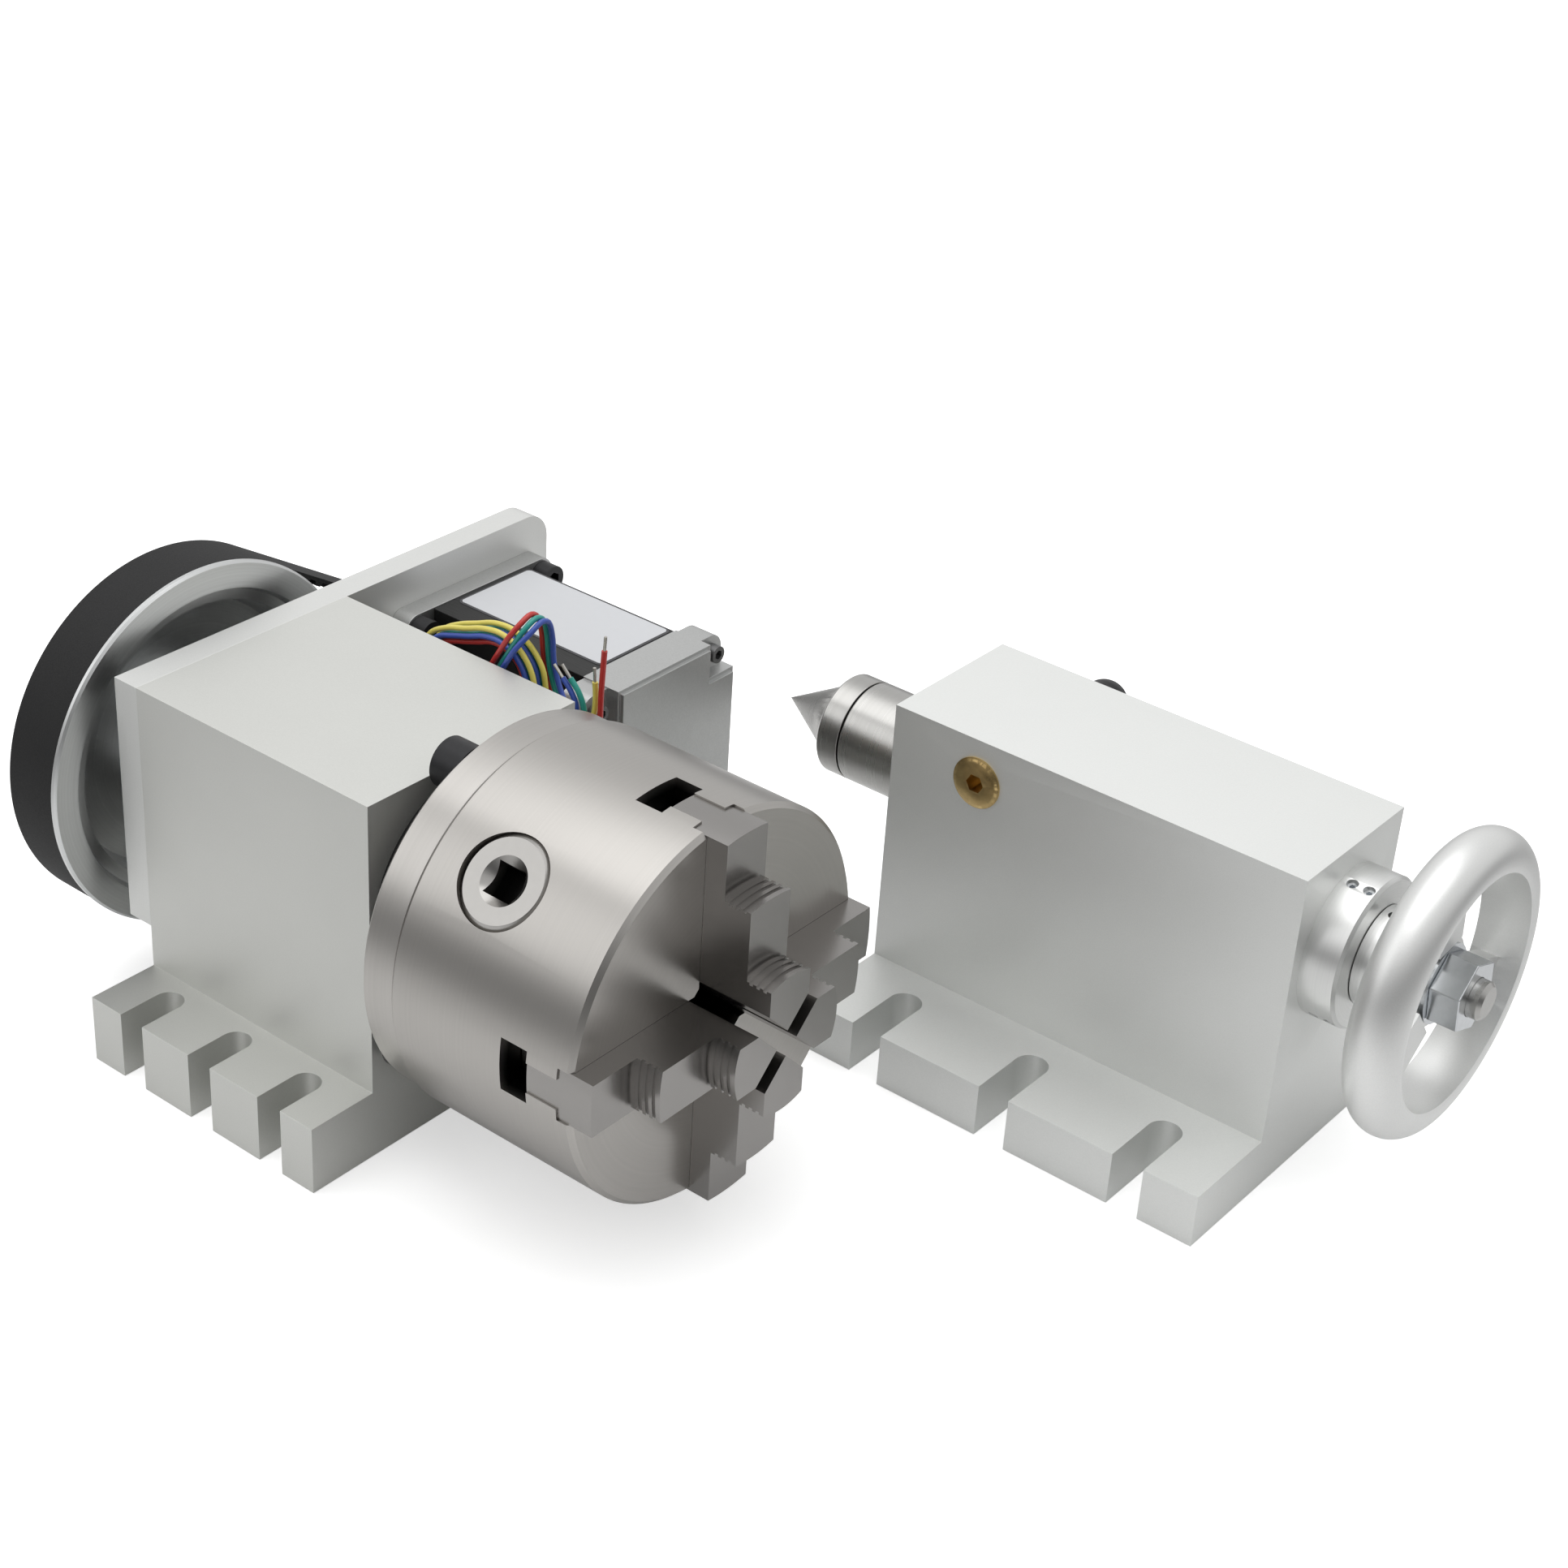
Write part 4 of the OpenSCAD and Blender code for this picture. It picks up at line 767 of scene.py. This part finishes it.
YELLOW = Wire(
    "yellow", (0.72, 0.62, 0.12), -2.4, 12.9, 45.9, 0.0, 1.97,
    ((-15.9, 44.9, 5.8), (-15.9, 42.9, 7.6), (-15.9, 42.2, 10.6), (-15.8, 42.4, 14.6), (-16.4, 43.6, 20.0)),
    ((-23.0, 38.6, 16.4), (-17.0, 39.8, 15.8), (-10.8, 42.4, 16.6), (-5.8, 44.6, 20.0), (-3.8, 46.1, 26.0),
     (-3.5, 46.5, 31.0), (-3.7, 46.4, 35.6)),
)
BLUE = Wire(
    "blue", (0.035, 0.08, 0.38), -0.8, 11.15, 45.0, 1.8, 1.86,
    ((-14.3, 46.0, 5.8), (-14.2, 44.4, 7.4), (-14.3, 43.9, 10.2), (-16.4, 44.2, 14.6), (-19.0, 44.6, 20.0)),
    ((-20.0, 49.0, 34.0), (-18.0, 48.9, 28.2), (-14.6, 48.0, 24.2), (-10.8, 46.3, 22.8), (-8.2, 44.7, 25.0),
     (-7.8, 44.0, 28.8), (-9.6, 43.8, 32.2), (-12.2, 43.8, 34.6)),
)
GREEN = Wire(
    "green", (0.02, 0.30, 0.25), 0.8, 11.15, 46.8, 0.0, 1.86,
    ((-12.7, 46.9, 6.0), (-12.9, 45.8, 7.8), (-13.4, 45.6, 10.4), (-15.4, 46.1, 14.6), (-18.2, 46.8, 20.0)),
    ((-21.7, 49.1, 33.2), (-19.4, 49.0, 26.4), (-15.2, 48.4, 21.8), (-10.2, 46.9, 20.4), (-6.6, 45.5, 22.8),
     (-5.8, 44.9, 27.4), (-7.2, 44.5, 31.8), (-10.0, 44.2, 35.2)),
)
RED = Wire(
    "red", (0.50, 0.03, 0.025), 2.4, 9.4, 45.9, -1.8, 1.81,
    ((-11.1, 46.5, 5.8), (-11.0, 44.8, 7.2), (-11.2, 44.5, 9.6), (-12.8, 46.6, 12.6),
     (-16.8, 48.2, 16.0), (-20.4, 46.8, 20.8)),
    ((-23.4, 49.2, 32.6), (-20.9, 49.2, 24.6), (-15.8, 49.1, 19.0), (-9.6, 48.5, 17.0), (-4.4, 47.3, 18.4),
     (-2.0, 46.5, 23.4), (-1.4, 46.2, 34.0), (-0.9, 46.4, 45.4)),
)


# Where the wires cross over the hank: each point, and the direction there from wire to wire
CROSSING: tuple[tuple[Point, tuple[float, float]], ...] = (
    ((-37.0, 38.0, 19.8), (0.8, -0.6)),
    ((-32.4, 37.9, 27.4), (0.8, -0.6)),
    ((-27.8, 37.8, 35.4), (0.8, -0.6)),
    ((-24.0, 38.2, 42.0), (0.8, -0.6)),
    ((-22.0, 40.6, 46.0), (0.9, -0.45)),
    ((-21.8, 44.2, 47.6), (0.97, -0.25)),
    ((-22.2, 47.4, 45.6), (1.0, 0.0)),
    ((-22.4, 49.0, 40.6), (1.0, 0.0)),
)


@dataclass
class Leads:
    """The motor's four thin leads: out of the grommet, round a loose hank, to bare tinned ends.

    Sizes are in millimetres in the row's frame until a piece is made.
    """

    wires: tuple[Wire, ...] = (YELLOW, BLUE, GREEN, RED)
    diameter: float = 1.5
    grommet: Point = (-13.5, 48.8, 5.5)
    near: tuple[float, float] = (-44.8, 23.8)
    far: tuple[float, float] = (-32.6, 28.6)
    first_turn: float = 0.13
    turn_points: int = 32
    layer: float = 3.6
    middle_depth: float = 45.9
    front_knots: int = 4
    spacing: float = 1.2
    sides: int = 12
    tip_length: float = 4.0
    tip_hidden: float = 0.6
    tip_radius: float = 0.42
    tip_sides: int = 10

    def racetrack(self, turn: np.ndarray, radius: float) -> np.ndarray:
        """Gives points round the hank's long loop, seen from the chuck's near side.

        The loop is two half circles joined by straight runs. It starts under the far
        centre and goes up round it, left over the top, down round the near centre and
        right again. A slow wave on the radius keeps it from looking wound on a former.

        Args:
            turn: How many times round, one value for each point.
            radius: The half circles' radius.

        Returns:
            The points' x and z, n by 2.
        """
        near, far = np.array(self.near), np.array(self.far)
        run = np.linalg.norm(far - near)
        along = (far - near) / run
        up = np.array([-along[1], along[0]])
        bend = np.pi * radius
        s = np.mod(turn, 1.0) * (2 * run + 2 * bend)
        wave = 0.35 * np.sin(2 * np.pi * turn * 1.31 + 0.7) + 0.25 * np.sin(2 * np.pi * turn * 2.7)
        r = (radius + wave)[:, None]
        angle_1 = (s / radius)[:, None]
        angle_2 = ((s - bend - run) / radius)[:, None]
        parts = [
            far + r * (np.sin(angle_1) * along - np.cos(angle_1) * up),
            far - along * (s - bend)[:, None] + up * r,
            near + r * (-np.sin(angle_2) * along + np.cos(angle_2) * up),
            near + along * (s - 2 * bend - run)[:, None] - up * r,
        ]
        pick = np.searchsorted([bend, bend + run, 2 * bend + run], s)
        return np.choose(pick[:, None], parts)

    def route(self, wire: Wire) -> np.ndarray:
        """Gives the points of one wire's centre line.

        Args:
            wire: Which wire.

        Returns:
            The points, n by 3, in millimetres.
        """
        x, y, z = self.grommet
        leave = [(x + wire.row, y, z), (x + wire.row, y - 1.0, z)]
        turn = np.linspace(self.first_turn, wire.last, self.turn_points)
        flat = self.racetrack(turn, wire.radius)
        loops = np.stack([flat[:, 0], wire.depth - self.layer * turn, flat[:, 1]], axis=1)
        cross = np.array([knot for knot, _ in CROSSING])
        cross[:, [0, 2]] += np.array([beside for _, beside in CROSSING]) * wire.wrap
        cross[: self.front_knots, 1] += wire.depth - self.middle_depth
        over = [] if wire is YELLOW else cross.tolist()
        return smooth_path(np.vstack([leave, wire.rise, loops, *over, wire.end]), self.spacing)

    def tip(self, wire: Wire, route: np.ndarray) -> bpy.types.Object:
        """Makes the bare tinned strands beyond the end of a wire's insulation.

        Args:
            wire: Which wire.
            route: The wire's centre line.

        Returns:
            The tip.
        """
        way = route[-1] - route[-4]
        way /= np.linalg.norm(way)
        steps = np.linspace(-self.tip_hidden, self.tip_length, 10)[:, None]
        points, faces = tube((route[-1] + steps * way) * MM, self.tip_radius * MM, self.tip_sides)
        return mesh_piece(f"lead_{wire.name}_tip", points, faces, TINNED, "headstock")

    def build(self) -> None:
        for wire in self.wires:
            route = self.route(wire)
            points, faces = tube(route * MM, self.diameter / 2 * MM, self.sides)
            finish, slot = wire_finish(wire.name, wire.colour), f"wire_{wire.name}"
            piece = mesh_piece(f"lead_{wire.name}_wire", points, faces, finish, "headstock")
            stands_for = [f"lead_{wire.name}"] + (["lead_hank"] if wire.name == "blue" else [])
            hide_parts(*stands_for)
            self.tip(wire, route)


@dataclass
class Belt:
    """The toothed belt round both pulleys, with its teeth on the inside all round."""

    rear: float = -113.5 * MM
    width: float = 16.0 * MM
    pitch: float = 5.08 * MM
    big_in: float = 48.555 * MM
    small_in: float = 9.748 * MM
    back: float = 1.03 * MM
    tooth: float = 1.2 * MM
    tooth_points: int = 16
    run_step: float = 0.5 * MM
    steep: float = 1.9
    lift: float = 0.3
    groove_deg: float = 6.0
    centre: tuple[float, float] = (78.5 * MM, -2.5 * MM)

    def loop(self, out: float) -> tuple[np.ndarray, np.ndarray]:
        """Gives the belt's outline at a distance outside the pulleys' belt faces.

        The line is an arc round the big pulley, a straight run to the small one, an arc
        round that and a straight run back.

        Args:
            out: The distance outwards.

        Returns:
            The points' y and z, and the outward directions there.
        """
        motor = np.array(self.centre)
        reach = np.linalg.norm(motor)
        aim = math.atan2(motor[1], motor[0])
        wrap = math.acos((self.big_in - self.small_in) / reach)
        span = reach * math.sin(wrap)
        big = np.linspace(aim + wrap, aim + 2 * np.pi - wrap, 181)
        small = np.linspace(aim - wrap, aim + wrap, 41)
        runs = np.linspace(0, 1, int(span / self.run_step))[1:-1]
        way = np.array([np.cos(big[-1]), np.sin(big[-1])])
        back = np.array([np.cos(big[0]), np.sin(big[0])])
        share = runs[:, None]
        first = way * self.big_in + share * (motor + way * self.small_in - way * self.big_in)
        home = back * self.big_in - motor - back * self.small_in
        second = motor + back * self.small_in + share * home
        ring_1 = np.stack([np.cos(big), np.sin(big)], axis=1)
        ring_2 = np.stack([np.cos(small), np.sin(small)], axis=1)
        line = np.vstack([ring_1 * self.big_in, first, motor + ring_2 * self.small_in, second])
        ways, backs = (np.tile(out_way, (len(runs), 1)) for out_way in (way, back))
        normal = np.vstack([ring_1, ways, ring_2, backs])
        return line + out * normal, normal

    def build(self) -> None:
        """Makes the belt from its outer and inner outline.

        The inner line goes in by tooth * clip(steep * cos(2 pi * phase) + lift) where the
        phase counts teeth along the belt from a groove of the big pulley, one of whose
        grooves is straight over the spindle's axis.
        """
        line, normal = self.loop(0.0)
        steps = np.linalg.norm(np.diff(line, axis=0, append=line[:1]), axis=1)
        length = np.concatenate([[0.0], np.cumsum(steps)])
        count = max(1, round(length[-1] / self.pitch))
        fine = np.linspace(0, length[-1], count * self.tooth_points, endpoint=False)
        closed = np.vstack([line, line[:1]])
        turned = np.vstack([normal, normal[:1]])
        place = np.stack([np.interp(fine, length, closed[:, k]) for k in range(2)], axis=1)
        out = np.stack([np.interp(fine, length, turned[:, k]) for k in range(2)], axis=1)
        out /= np.linalg.norm(out, axis=1, keepdims=True)
        start = self.first_groove()
        phase = (fine - start) / (length[-1] / count)
        wave = self.steep * np.cos(2 * np.pi * phase) + self.lift
        depth = np.clip(wave, 0.0, 1.0) * self.tooth
        inner = place - out * depth[:, None]
        outer = place + out * self.back
        n = len(fine)
        x0, x1 = self.rear, self.rear + self.width
        rings = [
            np.column_stack([np.full(n, x0), inner]),
            np.column_stack([np.full(n, x0), outer]),
            np.column_stack([np.full(n, x1), outer]),
            np.column_stack([np.full(n, x1), inner]),
        ]
        faces = grid_faces(4, n, close_rows=True, close_columns=True)
        piece = mesh_piece("belt_toothed", np.vstack(rings), faces, RUBBER, "headstock", 50.0)
        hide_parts("belt")

    def first_groove(self) -> float:
        """Gives the length along the belt from the loop's start to a groove of the big pulley."""
        motor = np.array(self.centre)
        aim = math.atan2(motor[1], motor[0])
        wrap = math.acos((self.big_in - self.small_in) / np.linalg.norm(motor))
        step = math.radians(self.groove_deg)
        start = aim + wrap
        groove = math.ceil((start - math.pi / 2) / step) * step + math.pi / 2
        return (groove - start) * self.big_in


@dataclass
class Tailstock:
    """The tailstock body, quill, live centre, brass plug, clamp, ring, collar and handwheel."""

    edge: Softening = field(default_factory=lambda: Softening(0.6 * MM, 3))

    def build(self) -> None:
        """Dresses the tailstock's pieces."""
        soften("tail_body", TAIL_ANODISED, self.edge)
        soften("rear_ring", RING_ALLOY, Softening(0.3 * MM, 2))
        soften("wheel_collar", RING_ALLOY, Softening(0.3 * MM, 2))
        soften("handwheel", WHEEL_ALLOY, Softening(0.5 * MM, 3))
        soften("quill", TAIL_STEEL, Softening(0.2 * MM, 2))
        soften("live_centre", TAIL_STEEL, Softening(0.2 * MM, 2))
        soften("lock_plug", BRASS, Softening(0.3 * MM, 2))
        soften("wheel_nut", ZINC, Softening(0.3 * MM, 2))
        dress(ZINC, "wheel_washer")
        dress(TAIL_STEEL, "leadscrew", "clamp_stud", "quill_key")
        dress(BLACK_OXIDE, "clamp_lever")
        dress(ZINC, "ring_screws")
        dress(BRASS, "quill_nut", "lock_pad")
        dress(BRONZE, "centre_bush")


# Studio


@dataclass(frozen=True)
class Lamp:
    """One square soft lamp.

    Attributes:
        name: The lamp's name.
        at: Where it hangs.
        target: Where it points.
        size: The side of its square.
        power: Its power in watts.
    """

    name: str
    at: Point
    target: Point
    size: float
    power: float

    def build(self) -> None:
        """Hangs the lamp and points it."""
        data = bpy.data.lights.new(self.name, "AREA")
        data.shape = "SQUARE"
        data.size = self.size
        data.energy = self.power
        lamp = bpy.data.objects.new(self.name, data)
        lamp.location = self.at
        aim = Vector(self.target) - Vector(self.at)
        lamp.rotation_euler = aim.to_track_quat("-Z", "Y").to_euler()
        bpy.context.scene.collection.objects.link(lamp)


@dataclass
class Studio:
    """The camera of the photograph's view, the pale floor and the soft light."""

    camera_at: Point = (0.41135, -0.42487, 0.37733)
    rows: tuple[Point, ...] = (
        (0.777078, 0.626749, 0.057746),
        (0.356960, -0.363288, -0.860582),
        (-0.518391, 0.689353, -0.506027),
    )
    focal_px: float = 3537.8
    frame_px: float = 1932.0
    floor_z: float = -0.0641
    dim_side: Point = (0.6, -0.8, 0.0)
    room_low: float = 0.14
    room_high: float = 0.80
    room_by_height: float = 2.2
    room_by_side: float = 1.1
    room_offset: float = 0.45
    floor_half: float = 6.0
    floor_grey: float = 0.86
    floor_glow: float = 0.5
    floor_rough: float = 0.9
    # Painted reflection: in glossy rays only, the floor's colour is dimmed away from this centre.
    painted_reflection_centre: tuple[float, float] = (0.03, 0.06)
    painted_reflection_radius: float = 0.20
    painted_reflection_fade: float = 0.30
    painted_reflection_dim: float = 0.7
    lamps: tuple[Lamp, ...] = (
        Lamp("top_soft", (-0.1, 0.1, 1.3), (0.03, 0.05, 0.0), 1.5, 9.5),
        Lamp("near_left", (-0.9, -1.1, 0.9), (0.0, 0.0, 0.0), 1.0, 2.2),
    )

    def camera(self) -> None:
        """Places the camera: its right, up and backward directions are the columns of its turn."""
        data = bpy.data.cameras.new("camera")
        data.sensor_width = 36.0
        data.lens = self.focal_px * 36.0 / self.frame_px
        data.clip_start, data.clip_end = 0.01, 50.0
        camera = bpy.data.objects.new("camera", data)
        right, down, forward = (Vector(row) for row in self.rows)
        turn = Matrix((right, -down, -forward)).transposed().to_4x4()
        camera.matrix_world = Matrix.Translation(self.camera_at) @ turn
        bpy.context.scene.collection.objects.link(camera)
        bpy.context.scene.camera = camera

    def floor(self) -> None:
        """Makes the pale floor, a wide plane that is nearly white to the camera.

        In reflections the plane is a pale sheet round the object, which goes over into a
        dimmer floor: shade = 1 - dim * clip((distance - radius) / fade), a painted reflection, since the
        floor's colour is dimmed only in glossy rays.
        """
        size = self.floor_half
        mesh = bpy.data.meshes.new("floor")
        plan = [(-size, -size), (size, -size), (size, size), (-size, size)]
        mesh.from_pydata([(x, y, self.floor_z) for x, y in plan], [], [(0, 1, 2, 3)])
        made = bpy.data.materials.new("floor_paper")
        made.use_nodes = True
        nodes = NodeTree(made.node_tree)
        shader = made.node_tree.nodes["Principled BSDF"]
        shader.inputs["Roughness"].default_value = self.floor_rough
        shader.inputs["Emission Color"].default_value = (1, 1, 1, 1)
        seen = nodes.add("LightPath")
        glow = nodes.math("MULTIPLY", seen.outputs["Is Camera Ray"], self.floor_glow)
        nodes.link(glow, shader.inputs["Emission Strength"])
        where = nodes.add("TexCoord")
        reach = nodes.add("VectorMath", operation="DISTANCE")
        nodes.link(where.outputs["Object"], reach.inputs[0])
        reach.inputs[1].default_value = (*self.painted_reflection_centre, self.floor_z)
        far = nodes.add("Clamp")
        beyond = nodes.math("SUBTRACT", reach.outputs["Value"], self.painted_reflection_radius)
        nodes.link(nodes.math("DIVIDE", beyond, self.painted_reflection_fade), far.inputs[0])
        # Painted reflection: the dimming acts only on glossy rays, so metal reflects a darker floor.
        mirrored = nodes.math("MULTIPLY", far.outputs[0], seen.outputs["Is Glossy Ray"])
        shade = nodes.math("SUBTRACT", 1.0, nodes.math("MULTIPLY", mirrored, self.painted_reflection_dim))
        nodes.link(nodes.tint((self.floor_grey,) * 3, shade), shader.inputs["Base Color"])
        mesh.materials.append(made)
        plane = bpy.data.objects.new("floor", mesh)
        bpy.context.scene.collection.objects.link(plane)

    def world(self) -> None:
        """Makes the soft surrounding light: white all round, dimmer low down behind the camera.

        The light is low + (high - low) * clip(by_height * z - by_side * side + offset),
        where z is the direction's height and side is its part towards the room behind
        the camera. The camera itself sees plain white.
        """
        world = bpy.data.worlds.new("studio")
        world.use_nodes = True
        bpy.context.scene.world = world
        nodes = NodeTree(world.node_tree)
        back = world.node_tree.nodes["Background"]
        back.inputs["Color"].default_value = (1, 1, 1, 1)
        where = nodes.add("TexCoord")
        parts = nodes.add("SeparateXYZ")
        nodes.link(where.outputs["Object"], parts.inputs[0])
        side = nodes.add("VectorMath", operation="DOT_PRODUCT")
        nodes.link(where.outputs["Object"], side.inputs[0])
        side.inputs[1].default_value = self.dim_side
        raised = nodes.math("MULTIPLY", parts.outputs[2], self.room_by_height)
        lowered = nodes.math("MULTIPLY", side.outputs["Value"], self.room_by_side)
        lift = nodes.add("Clamp")
        tilted = nodes.math("SUBTRACT", raised, lowered)
        nodes.link(nodes.math("ADD", tilted, self.room_offset), lift.inputs[0])
        gained = nodes.math("MULTIPLY", lift.outputs[0], self.room_high - self.room_low)
        light = nodes.math("ADD", gained, self.room_low)
        seen = nodes.add("LightPath")
        either = nodes.math("MAXIMUM", seen.outputs["Is Camera Ray"], seen.outputs["Is Transmission Ray"])
        nodes.link(nodes.math("MAXIMUM", either, light), back.inputs["Strength"])

    def build(self) -> None:
        """Sets the colour handling, and makes the floor, the surrounding light and the lamps."""
        bpy.context.scene.view_settings.view_transform = "Standard"
        self.floor()
        self.world()
        for lamp in self.lamps:
            lamp.build()


def main() -> None:
    """Builds the studio and each sub-assembly."""
    logging.basicConfig(level=logging.INFO, format="%(name)s: %(message)s")
    studio = Studio()
    studio.camera()
    for part in (Leads(), Headstock(), Drive(), Belt(), Chuck(), Motor(), Tailstock()):
        part.build()
        log.info("%s built", type(part).__name__)
    studio.build()


if __name__ == "__main__":
    main()
